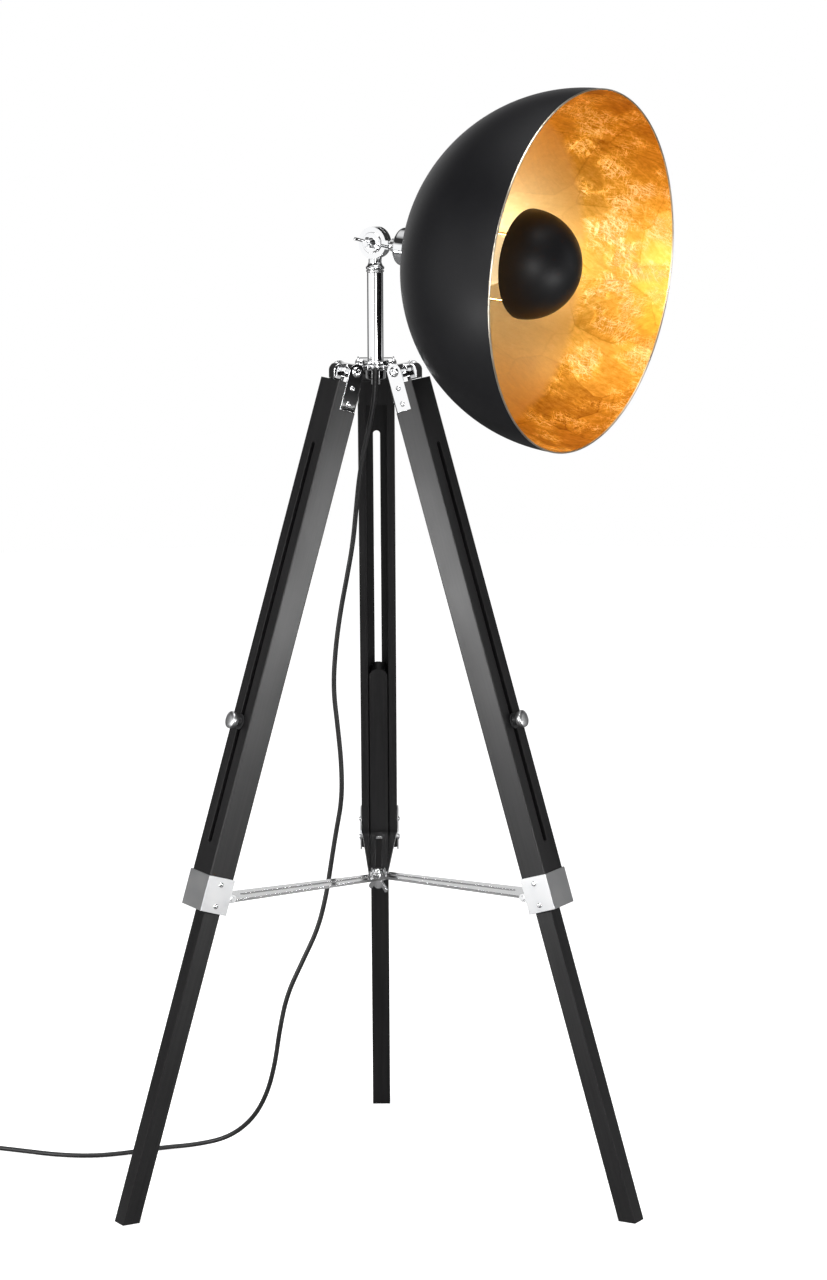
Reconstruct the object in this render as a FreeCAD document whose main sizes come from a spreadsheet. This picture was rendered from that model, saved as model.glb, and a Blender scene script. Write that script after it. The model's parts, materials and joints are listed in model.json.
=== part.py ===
"""Tripod floor lamp: telescopic timber legs, a spreader, a tilting hemispherical shade.

Frame: +Z up, millimetres, origin on the floor under the middle of the whole lamp. The column
stands at (columnX, columnY) from it, because the shade reaches out to one side; positions
below are given from the column's axis and moved there by lamp_frame().
The front legs stand at 210 and 330 degrees, the rear leg at 90 degrees.
"""
import FreeCAD, Part
import math
import os
import Sketcher

Vector = FreeCAD.Vector
Rotation = FreeCAD.Rotation
Placement = FreeCAD.Placement
X_AXIS = Vector(1, 0, 0)
Y_AXIS = Vector(0, 1, 0)
Z_AXIS = Vector(0, 0, 1)

doc = FreeCAD.newDocument("TripodFloorLamp")

# ---------------------------------------------------------------- driving dimensions
DIMENSIONS = {
    # where the column stands, from the origin
    "columnX": -18, "columnY": -13.5,
    # stance of the legs: the leg line runs from the floor at footRadius, leaning in by legTilt
    "footRadius": 328, "legTilt": 17.22,
    # upper leg: a slotted outer board with two rails behind it and a block at the top
    "legWidth": 42, "legOuter": 21, "legInner": 10, "boardInner": 10.6, "recessWidth": 24,
    "legLow": 366, "railTop": 945.5, "legTop": 977, "blockTop": 975, "blockWidth": 38,
    "slotLow": 443, "slotHigh": 900, "slotWidth": 8, "edgeRound": 1.5,
    # lower leg: a square bar that slides in the recess
    "lowerWidth": 21, "lowerDepth": 20, "lowerTop": 606, "lowerArch": 9.8,
    # leg pivot, straps and their fasteners
    "pivotUp": 991, "pivotOut": 1.4, "strapWidth": 18, "strapThick": 2, "strapLow": 946,
    "pivotBore": 3.05, "pivotBolt": 3, "pivotHead": 5.9, "pivotHeadHigh": 2.8,
    "screwHead": 3, "screwHeadHigh": 1.4, "screwShank": 1.6, "screwLong": 10,
    "strapScrewLow": 954, "strapScrewHigh": 972, "collarScrewLow": 372, "collarScrewHigh": 397,
    "collarScrewOut": 5,
    # collar at the foot of the upper leg and the hinge that it carries
    "collarLow": 364, "collarHigh": 405, "collarPlate": 1.7, "collarIn": 11.2,
    "hingeUp": 384, "hingeIn": 13.6, "earRound": 5, "pinRound": 1.7, "pinHead": 3,
    "pinHeadHigh": 1.2,
    # spreader arms: level tapered plates stacked on one bolt
    "armThick": 3, "armStep": 3.1, "armRootWidth": 41, "armTipWidth": 23,
    "barrelRound": 3.1, "barrelBore": 1.75, "barrelWide": 41.4,
    "armSlotStart": 26, "armSlotWidth": 7.5,
    "spreaderBolt": 3, "spreaderHead": 8, "spreaderHeadHigh": 3, "spreaderWasher": 8.5,
    "washerThick": 1.1, "spreaderDrop": 16,
    # clamp on each leg
    "clampUp": 579, "clampBolt": 3, "clampSkin": 3, "clampKnob": 10, "clampKnobHigh": 11,
    # crown
    "hubRound": 11, "hubLow": 935, "shoulderRound": 15.2, "shoulderLow": 947, "hubTop": 952,
    "flangeRound": 15.6, "flangeHigh": 4.6, "armWidth": 13, "noseReach": 57, "noseRound": 8,
    "noseTop": 956, "lipThick": 9, "barrelOuter": 8, "barrelLength": 37.6,
    "cordHole": 3.7, "cordOffset": 11.6,
    # column
    "columnRound": 9.3, "columnWall": 1.4, "columnTop": 1055.5, "rodRound": 5, "rodBore": 3.4,
    "beadRound": 10.5, "ferruleTop": 1058.2,
    # tilting knuckle
    "knuckleHigh": 1088.6, "knuckleRound": 17.8, "knuckleThick": 6, "knuckleGap": 0.15,
    "knuckleWeb": 5.5, "webInset": 0.6, "tiltHead": 5.5, "tiltHeadHigh": 4, "tiltReach": 14,
    "tiltWasher": 12, "wingTurn": -19, "tiltSpan": 17, "spreaderSpan": 16, "spreaderTurn": 50,
    "wingHub": 6, "wingHubTop": 4.6, "wingHubHigh": 9, "wingThick": 2.4,
    # clearances and through cuts
    "slip": 0.05, "through": 60,
    "neckRound": 7.4, "flareRound": 10.5, "tiltBolt": 3, "stubRound": 4.9,
    "headHeading": -31.97, "headDroop": 4.1,
    # shade and what it holds, measured along the shade's axis from the knuckle
    "rimReach": 269.7, "shadeRound": 200, "shadeWall": 0.8, "liningWall": 0.3, "liningGap": 0.1,
    "shadeHole": 20.3, "rimWide": 2.0, "rimThick": 1.5,
    "capRound": 21.5, "capWall": 1.2, "capNeck": 7.4, "capStart": 23, "capEnd": 70.6,
    "holderRound": 19.4, "socketBore": 13.9, "holderEnd": 96,
    "bulbBase": 13.4, "bulbNeck": 13.8, "bulbRound": 30, "bulbWall": 1.0,
    "domeRound": 61.2, "domeWall": 1.0, "domeBack": 71.6, "rodRadius": 45, "rodThick": 1.2,
    # mains lead
    "cordRound": 2.75, "coilRound": 31, "coilThick": 6.5,
    "switchRound": 31, "switchHigh": 22, "buttonRound": 11, "buttonHigh": 6, "buttonSink": 3,
    "plugWide": 34, "plugHigh": 13.6, "plugLong": 36, "plugPin": 2, "plugPinLong": 19,
    "plugPinGap": 18.6, "sleeveLong": 22, "sleeveThick": 4.6, "sleeveThin": 3.3,
}

sheet = doc.addObject("Spreadsheet::Sheet", "Dims")
for row, (alias, value) in enumerate(DIMENSIONS.items(), start=1):
    sheet.set("A%d" % row, alias)
    sheet.set("B%d" % row, str(value))
    sheet.setAlias("B%d" % row, alias)
doc.recompute()

LEG_ANGLES = {"left": 210, "right": 330, "rear": 90}
ARM_LEVELS = {"left": -1, "right": 0, "rear": 1}
exported = []


def size(formula):
    """The number that a formula of sheet aliases stands for now."""
    return float(sheet.evalExpression(dims(formula)))


def dims(formula):
    """The same formula as an expression on the sheet, written Dims.alias."""
    text = str(formula)
    for alias in sorted(DIMENSIONS, key=len, reverse=True):
        text = text.replace("{%s}" % alias, "Dims.%s" % alias)
    return text


# ---------------------------------------------------------------- placements
def lamp_frame():
    """From the column's axis on the floor to the part's origin."""
    return Placement(Vector(size("{columnX}"), size("{columnY}"), 0), Rotation())


def leg_point(up, out):
    """Formulas for how far from the lamp's axis, and how high, a point of the leg frame is."""
    across = "({footRadius}-(%s)*sin({legTilt})+(%s)*cos({legTilt}))" % (up, out)
    height = "((%s)*cos({legTilt})+(%s)*sin({legTilt}))" % (up, out)
    return across, height


def leg_placement(angle):
    """Leg frame: X outwards across the leg, Y along the crown's edge, Z up along the leg."""
    lean = Rotation(Y_AXIS, -size("{legTilt}"))
    heading = Rotation(Z_AXIS, angle)
    foot = heading.multVec(Vector(size("{footRadius}"), 0, 0))
    return Placement(foot, heading.multiply(lean))


def on_leg(angle, out, up):
    """Leg frame moved to a point of the leg's middle plane."""
    return leg_placement(angle).multiply(Placement(Vector(size(out), 0, size(up)), Rotation()))


def hinge_placement(angle):
    """Frame of a level spreader arm: origin on its hinge pin, X away from the lamp's axis."""
    return Placement(on_leg(angle, "-{hingeIn}", "{hingeUp}").Base, Rotation(Z_AXIS, angle))


def neck_placement():
    """Frame of the swivelling neck: origin on the floor, X the way the shade faces."""
    return Placement(Vector(0, 0, 0), Rotation(Z_AXIS, size("{headHeading}")))


def head_placement():
    """Frame of the tilting head: origin on the tilt axis, X along the shade's axis."""
    droop = Rotation(Y_AXIS, size("{headDroop}"))
    heading = Rotation(Z_AXIS, size("{headHeading}"))
    return Placement(Vector(0, 0, size("{knuckleHigh}")), heading.multiply(droop))


# ---------------------------------------------------------------- building helpers
def new_body(label, place=None):
    """An empty body, listed for export under its own label."""
    body = doc.addObject("PartDesign::Body", label)
    body.Label = label
    body.AllowCompound = True
    body.Placement = lamp_frame().multiply(place or Placement())
    exported.append(body)
    return body


def origin_plane(body, role):
    return next(feature for feature in body.Origin.OriginFeatures if feature.Role == role)


def new_sketch(body, role, offset=None):
    """A sketch on one of the body's origin planes, moved along its normal by a formula."""
    sketch = body.newObject("Sketcher::SketchObject", "Sketch")
    sketch.AttachmentSupport = [(origin_plane(body, role), "")]
    sketch.MapMode = "FlatFace"
    if offset:
        sketch.setExpression("AttachmentOffset.Base.z", dims(offset))
    return sketch


def pin_point(sketch, edge, end, across, up):
    """Hold one end of an edge at two distances from the sketch's origin."""
    held = sketch.addConstraint(Sketcher.Constraint("DistanceX", -1, 1, edge, end, size(across)))
    sketch.setExpression("Constraints[%d]" % held, dims(across))
    held = sketch.addConstraint(Sketcher.Constraint("DistanceY", -1, 1, edge, end, size(up)))
    sketch.setExpression("Constraints[%d]" % held, dims(up))


def arc_edge(start, finish, radius):
    """An arc of less than half a turn; a positive radius curves anticlockwise."""
    chord = finish - start
    middle = (start + finish) * 0.5
    rise = math.sqrt(max(radius * radius - chord.Length ** 2 / 4, 0))
    side = Vector(-chord.y, chord.x, 0).normalize() * (rise if radius > 0 else -rise)
    centre = middle + side
    circle = Part.Circle(centre, Z_AXIS, abs(radius))
    first, last = circle.parameter(start), circle.parameter(finish)
    if radius < 0:
        first, last = last, first
    return Part.ArcOfCircle(circle, first, last)


def closed_outline(sketch, corners):
    """Closed loop of corners (across, up), or (across, up, radius) for an arc that ends there."""
    points = [Vector(size(corner[0]), size(corner[1]), 0) for corner in corners]
    edges = []
    for index, corner in enumerate(corners):
        start, finish = points[index - 1], points[index]
        if len(corner) == 3:
            radius = size(corner[2])
            edge = sketch.addGeometry(arc_edge(start, finish, radius), False)
            first, last = (1, 2) if radius > 0 else (2, 1)
            held = sketch.addConstraint(Sketcher.Constraint("Radius", edge, abs(radius)))
            sketch.setExpression("Constraints[%d]" % held, "abs(%s)" % dims(corner[2]))
        else:
            edge = sketch.addGeometry(Part.LineSegment(start, finish), False)
            first, last = 1, 2
        edges.append((edge, first, last))
    for index, corner in enumerate(corners):
        edge, _, last = edges[index]
        following, first, _ = edges[(index + 1) % len(edges)]
        sketch.addConstraint(Sketcher.Constraint("Coincident", edge, last, following, first))
        pin_point(sketch, edge, last, corner[0], corner[1])


def circle_outline(sketch, across, up, radius):
    """A circle held by its centre and radius."""
    centre = Vector(size(across), size(up), 0)
    edge = sketch.addGeometry(Part.Circle(centre, Z_AXIS, size(radius)), False)
    held = sketch.addConstraint(Sketcher.Constraint("Radius", edge, size(radius)))
    sketch.setExpression("Constraints[%d]" % held, dims(radius))
    pin_point(sketch, edge, 3, across, up)


def slot_outline(sketch, along, start, finish, half):
    """A round-ended slot between two centres on the sketch's X or Y axis."""
    near, far = "(%s)-(%s)" % (start, half), "(%s)+(%s)" % (finish, half)
    left = "-(%s)" % half
    corners = [(start, left, half), (finish, left), (far, "0", half), (finish, half, half),
               (start, half), (near, "0", half)]
    if along == "y":
        corners = [("-(%s)" % corner[1], corner[0]) + corner[2:] for corner in corners]
    closed_outline(sketch, corners)


def pad(body, sketch, length, both_ways=False, backwards=False):
    feature = body.newObject("PartDesign::Pad", "Pad")
    feature.Profile = sketch
    feature.SideType = "Symmetric" if both_ways else "One side"
    feature.setExpression("Length", dims(length))
    feature.Reversed = backwards
    return feature


def pocket(body, sketch, length, both_ways=False, backwards=False):
    """Cut that must take something away."""
    doc.recompute()
    before = body.Shape.Volume
    feature = body.newObject("PartDesign::Pocket", "Pocket")
    feature.Profile = sketch
    feature.SideType = "Symmetric" if both_ways else "One side"
    feature.setExpression("Length", dims(length))
    feature.Reversed = backwards
    doc.recompute()
    if body.Shape.Volume > before - 1e-6:
        raise RuntimeError("%s: a pocket cut nothing" % body.Label)
    return feature


def turn_about(body, sketch, axis="V_Axis"):
    """Full turn of a sketch about one of its own axes."""
    feature = body.newObject("PartDesign::Revolution", "Revolution")
    feature.Profile = sketch
    feature.ReferenceAxis = (sketch, [axis])
    feature.Angle = 360
    return feature


def turned(label, role, corners, place=None, axis="V_Axis"):
    """A body turned from one closed outline."""
    body = new_body(label, place)
    sketch = new_sketch(body, role)
    closed_outline(sketch, corners)
    turn_about(body, sketch, axis)
    return body


def cylinder(radius, height, base, direction):
    """Cylinder between a base point and a direction, its sizes bound to the sheet."""
    shape = doc.addObject("Part::Cylinder", "Cylinder")
    shape.setExpression("Radius", dims(radius))
    shape.setExpression("Height", dims(height))
    shape.Placement = Placement(base, Rotation(Z_AXIS, direction))
    return shape


def gather(label, pieces, place=None):
    """Several separate solids in one node."""
    group = doc.addObject("Part::Compound", label)
    group.Links = pieces
    group.Label = label
    group.Placement = lamp_frame().multiply(place or Placement())
    exported.append(group)
    return group


# ---------------------------------------------------------------- crown and column
def build_crown_casting():
    """Hub with a shoulder, and three arms that each carry a leg's pivot and stop its top."""
    body = new_body("crown_casting", Placement(Vector(0, 0, 0), Rotation(Z_AXIS, 90)))
    hub = new_sketch(body, "XZ_Plane")
    closed_outline(hub, [
        ("{rodRound}+0.05", "{hubLow}"), ("{hubRound}-1", "{hubLow}"),
        ("{hubRound}", "{hubLow}+1", "1"), ("{hubRound}", "{shoulderLow}"),
        ("{shoulderRound}", "{shoulderLow}"), ("{shoulderRound}", "{hubTop}"),
        ("{rodRound}+0.05", "{hubTop}")])
    turn_about(body, hub)
    web = new_sketch(body, "XZ_Plane")
    lip = "{noseReach}-{lipThick}"
    closed_outline(web, [
        ("{hubRound}-3", "{hubTop}-6"), (lip, "{hubTop}-6"), (lip, "{hubTop}-15"),
        ("{noseReach}", "{hubTop}-12.3"), ("{noseReach}", "{noseTop}-{noseRound}"),
        ("{noseReach}-{noseRound}", "{noseTop}", "{noseRound}"), ("{hubRound}+6", "{hubTop}"),
        ("{hubRound}-3", "{hubTop}")])
    arm = pad(body, web, "{armWidth}", both_ways=True)
    across, up = leg_point("{pivotUp}", "{pivotOut}")
    boss = new_sketch(body, "XZ_Plane")
    circle_outline(boss, across, up, "{barrelOuter}")
    barrel = pad(body, boss, "{barrelLength}", both_ways=True)
    hole = new_sketch(body, "XZ_Plane")
    circle_outline(hole, across, up, "{pivotBore}")
    bore = pocket(body, hole, "{barrelLength}+10", both_ways=True)
    ring = body.newObject("PartDesign::PolarPattern", "PolarPattern")
    ring.Originals = [arm, barrel, bore]
    ring.Axis = (origin_plane(body, "Z_Axis"), [""])
    ring.Angle = 360
    ring.Occurrences = 3
    body.Tip = ring
    lead_way = new_sketch(body, "XY_Plane")
    circle_outline(lead_way, "-{cordOffset}", "0", "{cordHole}")
    pocket(body, lead_way, "{hubTop}-3", backwards=True)
    return body


def build_column():
    """Flange ring, hollow threaded rod, polished tube and the bead that closes its top."""
    turned("crown_flange", "XZ_Plane", [
        ("{rodRound}+0.1", "{hubTop}"), ("{flangeRound}-1.5", "{hubTop}"),
        ("{flangeRound}", "{hubTop}+1.5", "1.5"), ("{flangeRound}", "{hubTop}+{flangeHigh}-1.5"),
        ("{flangeRound}-1.5", "{hubTop}+{flangeHigh}", "1.5"),
        ("{rodRound}+0.1", "{hubTop}+{flangeHigh}")])
    tube_low = "{hubTop}+{flangeHigh}"
    turned("column_tube", "XZ_Plane", [
        ("{columnRound}-{columnWall}", tube_low), ("{columnRound}", tube_low),
        ("{columnRound}", "{columnTop}"), ("{columnRound}-{columnWall}", "{columnTop}")])
    turned("column_rod", "XZ_Plane", [
        ("{rodBore}", "{hubLow}-6"), ("{rodRound}", "{hubLow}-6"),
        ("{rodRound}", "{ferruleTop}+5"), ("{rodBore}", "{ferruleTop}+5")])
    turned("column_ferrule", "XZ_Plane", [
        ("{rodRound}+0.1", "{columnTop}"), ("{beadRound}-1.35", "{columnTop}"),
        ("{beadRound}-1.35", "{ferruleTop}", "1.36"), ("{rodRound}+0.1", "{ferruleTop}")])
    turned("cord_bush", "XZ_Plane", [
        ("{cordRound}", "{shoulderLow}-2.2"), ("{cordHole}-0.05", "{shoulderLow}-2.2"),
        ("{cordHole}-0.05", "{hubTop}-3.1"), ("{cordRound}", "{hubTop}-3.1")],
        Placement(Vector(0, -size("{cordOffset}"), 0), Rotation()))


# ---------------------------------------------------------------- legs
def build_upper_leg(side, place):
    """Slotted outer board, two rails behind it and the recessed block that takes the straps."""
    body = new_body("upper_leg_%s" % side, place)
    section = new_sketch(body, "XY_Plane", "{legLow}")
    half, inner = "{legWidth}/2", "-{legInner}"
    recess, bend = "{recessWidth}/2", "{edgeRound}"
    closed_outline(section, [
        ("{boardInner}", recess), (inner, recess),
        (inner, half + "-" + bend), (inner + "+" + bend, half, "-" + bend),
        ("{legOuter}-" + bend, half), ("{legOuter}", half + "-" + bend, "-" + bend),
        ("{legOuter}", "-(" + half + "-" + bend + ")"),
        ("{legOuter}-" + bend, "-" + half, "-" + bend),
        (inner + "+" + bend, "-" + half), (inner, "-(" + half + "-" + bend + ")", "-" + bend),
        (inner, "-" + recess), ("{boardInner}", "-" + recess)])
    pad(body, section, "{railTop}-{legLow}")
    top_board = new_sketch(body, "XY_Plane", "{railTop}")
    closed_outline(top_board, [
        ("{boardInner}", "-" + half), ("{legOuter}-" + bend, "-" + half),
        ("{legOuter}", "-(" + half + "-" + bend + ")", bend), ("{legOuter}", half + "-" + bend),
        ("{legOuter}-" + bend, half, bend), ("{boardInner}", half)])
    pad(body, top_board, "{legTop}-{railTop}")
    block = new_sketch(body, "XY_Plane", "{railTop}")
    closed_outline(block, [
        (inner, "-{blockWidth}/2"), ("{boardInner}+1", "-{blockWidth}/2"),
        ("{boardInner}+1", "{blockWidth}/2"), (inner, "{blockWidth}/2")])
    pad(body, block, "{blockTop}-{railTop}")
    slot = new_sketch(body, "YZ_Plane")
    slot_outline(slot, "y", "{slotLow}", "{slotHigh}", "{slotWidth}/2")
    pocket(body, slot, "{legOuter}+5", backwards=True)
    return body


def build_lower_leg(side, place):
    """Square bar, cut level at the floor and arched at the top."""
    body = new_body("lower_leg_%s" % side, place)
    profile = new_sketch(body, "XZ_Plane")
    half = "{lowerDepth}/2"
    closed_outline(profile, [
        ("-" + half, half + "*tan({legTilt})"), (half, "-" + half + "*tan({legTilt})"),
        (half, "{lowerTop}"), ("-" + half, "{lowerTop}")])
    bar = pad(body, profile, "{lowerWidth}", both_ways=True)
    doc.recompute()
    top = size("{lowerTop}")
    ends = ["Edge%d" % (index + 1) for index, edge in enumerate(bar.Shape.Edges)
            if edge.BoundBox.ZMin > top - 1 and edge.BoundBox.XLength > 1]
    arch = body.newObject("PartDesign::Fillet", "Fillet")
    arch.Base = (bar, ends)
    arch.setExpression("Radius", dims("{lowerArch}"))
    hole = new_sketch(body, "YZ_Plane", "{clampSkin}-{lowerDepth}/2")
    circle_outline(hole, "0", "{clampUp}", "{clampBolt}")
    pocket(body, hole, "{lowerDepth}", backwards=True)
    return body


def build_straps(side, place):
    """Two flat plates with rounded tops, sunk flush in the sides of the leg's top block."""
    body = new_body("leg_straps_%s" % side, place)
    outline = new_sketch(body, "XZ_Plane")
    left, right = "{pivotOut}-{strapWidth}/2", "{pivotOut}+{strapWidth}/2"
    closed_outline(outline, [
        (left, "{strapLow}"), (right, "{strapLow}"), (right, "{pivotUp}"),
        ("{pivotOut}", "{pivotUp}+{strapWidth}/2", "{strapWidth}/2"),
        (left, "{pivotUp}", "{strapWidth}/2")])
    circle_outline(outline, "{pivotOut}", "{pivotUp}", "{pivotBolt}+0.02")
    pad(body, outline, "{blockWidth}+2*{strapThick}", both_ways=True)
    middle = new_sketch(body, "XZ_Plane")
    closed_outline(middle, [
        (left + "-1", "{strapLow}-1"), (right + "+1", "{strapLow}-1"),
        (right + "+1", "{pivotUp}+{strapWidth}"), (left + "-1", "{pivotUp}+{strapWidth}")])
    pocket(body, middle, "{blockWidth}", both_ways=True)
    return body


def build_pivot_bolt(side, place):
    """Bolt with a low round head, and the matching cap nut on the other side."""
    body = new_body("pivot_bolt_%s" % side, place)
    edge = "{blockWidth}/2+{strapThick}"
    bolt = new_sketch(body, "YZ_Plane")
    closed_outline(bolt, [
        ("-(" + edge + ")", "0"), (edge + "+{pivotHeadHigh}", "0"),
        (edge + "+{pivotHeadHigh}", "{pivotHead}-1.6"), (edge + "+0.8", "{pivotHead}", "5"),
        (edge, "{pivotHead}"), (edge, "{pivotBolt}"), ("-(" + edge + ")", "{pivotBolt}")])
    turn_about(body, bolt, "H_Axis")
    nut = new_sketch(body, "YZ_Plane")
    closed_outline(nut, [
        ("-(" + edge + ")", "0"), ("-(" + edge + ")", "{pivotHead}"),
        ("-(" + edge + "+0.8)", "{pivotHead}"),
        ("-(" + edge + "+{pivotHeadHigh})", "{pivotHead}-1.6", "5"),
        ("-(" + edge + "+{pivotHeadHigh})", "0")])
    turn_about(body, nut, "H_Axis")
    return body


def build_leg_screws(side, place):
    """Eight pan-head wood screws: two through each strap, two through each collar cheek."""
    pieces = []
    spots = [
        ("{pivotOut}", "{strapScrewLow}", "{blockWidth}/2+{strapThick}"),
        ("{pivotOut}", "{strapScrewHigh}", "{blockWidth}/2+{strapThick}"),
        ("{collarScrewOut}", "{collarScrewLow}", "{legWidth}/2+{collarPlate}"),
        ("{collarScrewOut}", "{collarScrewHigh}", "{legWidth}/2+{collarPlate}"),
    ]
    for out, up, face in spots:
        for way in (1, -1):
            base = Vector(size(out), way * size(face), size(up))
            head = cylinder("{screwHead}", "{screwHeadHigh}", base, Y_AXIS * way)
            shank = cylinder("{screwShank}", "{screwLong}", base, Y_AXIS * -way)
            screw = doc.addObject("Part::MultiFuse", "Screw")
            screw.Shapes = [head, shank]
            pieces.append(screw)
    return gather("leg_screws_%s" % side, pieces, place)


def build_collar(side, place):
    """Folded plate around the outer side of the leg's foot, with two ears for the hinge pin."""
    body = new_body("leg_collar_%s" % side, place)
    cheek = new_sketch(body, "XZ_Plane")
    reach = "{legOuter}+{collarPlate}"
    ear = "sqrt({earRound}^2-({hingeIn}-{collarIn})^2)"
    closed_outline(cheek, [
        ("-{collarIn}", "{collarLow}"), (reach, "{collarLow}"), (reach, "{collarHigh}"),
        ("-{collarIn}", "{collarHigh}"), ("-{collarIn}", "{hingeUp}+" + ear),
        ("-{hingeIn}-{earRound}", "{hingeUp}", "{earRound}"),
        ("-{collarIn}", "{hingeUp}-" + ear, "{earRound}")])
    circle_outline(cheek, "-{hingeIn}", "{hingeUp}", "{pinRound}")
    pad(body, cheek, "{legWidth}+2*{collarPlate}", both_ways=True)
    inside = new_sketch(body, "XY_Plane", "{collarLow}-1")
    closed_outline(inside, [
        ("-40", "-{legWidth}/2"), ("{legOuter}", "-{legWidth}/2"),
        ("{legOuter}", "{legWidth}/2"), ("-40", "{legWidth}/2")])
    pocket(body, inside, "{collarHigh}-{collarLow}+2", backwards=True)
    return body


def build_hinge_pin(side, place):
    """Riveted pin that the spreader arm turns on."""
    half = "({legWidth}/2+{collarPlate})"
    turned("hinge_pin_%s" % side, "YZ_Plane", [
        ("-" + half + "-{pinHeadHigh}", "0"), (half + "+{pinHeadHigh}", "0"),
        (half + "+{pinHeadHigh}", "{pinHead}-0.8"), (half, "{pinHead}"), (half, "{pinRound}"),
        ("-" + half, "{pinRound}"), ("-" + half, "{pinHead}"),
        ("-" + half + "-{pinHeadHigh}", "{pinHead}-0.8")], place, "H_Axis")


def build_clamp(side, place):
    """Stud set in the lower leg, out through the slot, and the dished knob that tightens on it."""
    inner = "{clampSkin}-{lowerDepth}/2"
    turned("clamp_stud_%s" % side, "XZ_Plane", [
        (inner, "0"), ("{legOuter}+{clampKnobHigh}", "0"),
        ("{legOuter}+{clampKnobHigh}", "{clampBolt}"), (inner, "{clampBolt}")],
        place, "H_Axis")
    face = "{legOuter}"
    turned("clamp_knob_%s" % side, "XZ_Plane", [
        (face + "+0.3", "{clampBolt}+0.05"), (face + "+{clampKnobHigh}+0.5", "{clampBolt}+0.05"),
        (face + "+{clampKnobHigh}+0.5", "0"), (face + "+{clampKnobHigh}+3", "0"),
        (face + "+{clampKnobHigh}+4.5", "{clampKnob}-2"),
        (face + "+{clampKnobHigh}+3.5", "{clampKnob}", "2"),
        (face + "+{clampKnobHigh}-2", "{clampKnob}-1"), (face + "+6", "5.5", "-9"),
        (face + "+1.8", "5.5"), (face + "+1.8", "8.8"), (face + "+0.3", "8.8")],
        place, "H_Axis")


def build_legs():
    for side, angle in LEG_ANGLES.items():
        place = leg_placement(angle)
        build_upper_leg(side, place)
        build_straps(side, place)
        build_pivot_bolt(side, on_leg(angle, "{pivotOut}", "{pivotUp}"))
        build_leg_screws(side, place)
        build_collar(side, place)
        build_hinge_pin(side, on_leg(angle, "-{hingeIn}", "{hingeUp}"))
        build_lower_leg(side, place)
        build_clamp(side, on_leg(angle, "0", "{clampUp}"))


# ---------------------------------------------------------------- spreader
def build_spreader_arm(side):
    """Level tapered plate with a long slot, rolled round the hinge pin at its wide end."""
    body = new_body("spreader_arm_%s" % side, hinge_placement(LEG_ANGLES[side]))
    low = "%d*{armStep}-{armThick}/2" % ARM_LEVELS[side]
    plate = new_sketch(body, "XY_Plane", low)
    reach, _ = leg_point("{hingeUp}", "-{hingeIn}")
    tip = "-" + reach
    closed_outline(plate, [
        ("0", "-{armRootWidth}/2"), ("0", "{armRootWidth}/2"), (tip, "{armTipWidth}/2"),
        (tip + "-{armTipWidth}/2", "0", "{armTipWidth}/2"),
        (tip, "-{armTipWidth}/2", "{armTipWidth}/2")])
    pad(body, plate, "{armThick}")
    roll = new_sketch(body, "XZ_Plane")
    circle_outline(roll, "0", "0", "{barrelRound}")
    pad(body, roll, "{barrelWide}", both_ways=True)
    bore = new_sketch(body, "XZ_Plane")
    circle_outline(bore, "0", "0", "{barrelBore}")
    pocket(body, bore, "{barrelWide}+2", both_ways=True)
    slot = new_sketch(body, "XY_Plane", low + "-1")
    slot_outline(slot, "x", tip, "-{armSlotStart}", "{armSlotWidth}/2")
    pocket(body, slot, "{armThick}+2", backwards=True)
    return body


def build_spreader():
    """Three arms, the bolt through their slots, its washers and its wing nut."""
    for side in LEG_ANGLES:
        build_spreader_arm(side)
    _, height = leg_point("{hingeUp}", "-{hingeIn}")
    middle = Placement(Vector(0, 0, size(height)), Rotation())
    top = "{armStep}+{armThick}/2"
    head = top + "+{washerThick}+0.2"
    turned("spreader_bolt", "XZ_Plane", [
        ("0", "-{spreaderDrop}"), ("{spreaderBolt}", "-{spreaderDrop}"), ("{spreaderBolt}", head),
        ("{spreaderHead}", head), ("{spreaderHead}-1", top + "+{spreaderHeadHigh}", "3"),
        ("0", top + "+{spreaderHeadHigh}+0.8")], middle)
    washers = []
    for base in (top + "+0.1", "-(" + top + ")-0.1-{washerThick}"):
        rim = cylinder("{spreaderWasher}", "{washerThick}", Vector(0, 0, size(base)), Z_AXIS)
        below = Vector(0, 0, size(base + "-{washerThick}"))
        hole = cylinder("{spreaderBolt}+2*{slip}", "3*{washerThick}", below, Z_AXIS)
        washer = doc.addObject("Part::Cut", "Washer")
        washer.Base = rim
        washer.Tool = hole
        washers.append(washer)
    gather("spreader_washers", washers, middle)
    underside = Vector(0, 0, size(height + "-(" + head + ")"))
    facing = Rotation(Z_AXIS, size("{spreaderTurn}"))
    build_wing_nut("spreader_wing_nut", "{spreaderSpan}", "{spreaderBolt}",
                   Placement(underside, Rotation(X_AXIS, 180).multiply(facing)))


def build_wing_nut(label, reach, bore, place):
    """Wing nut: a tapered hub on +Z with two upswept wings along X."""
    body = new_body(label, place)
    hub = new_sketch(body, "XZ_Plane")
    closed_outline(hub, [
        (bore + "+{slip}", "0"), ("{wingHub}", "0"), ("{wingHubTop}", "{wingHubHigh}"),
        (bore + "+{slip}", "{wingHubHigh}")])
    turn_about(body, hub)
    wing = new_sketch(body, "XZ_Plane")
    closed_outline(wing, [
        ("4", "1"), (reach + "-4", "5.5", "14"), (reach, "10.5", "5.5"),
        (reach + "-3.6", "13", "3.2"), ("4.2", "7.5", "-12")])
    blade = pad(body, wing, "{wingThick}", both_ways=True)
    pair = body.newObject("PartDesign::PolarPattern", "PolarPattern")
    pair.Originals = [blade]
    pair.Axis = (origin_plane(body, "Z_Axis"), [""])
    pair.Angle = 360
    pair.Occurrences = 2
    body.Tip = pair


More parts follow.
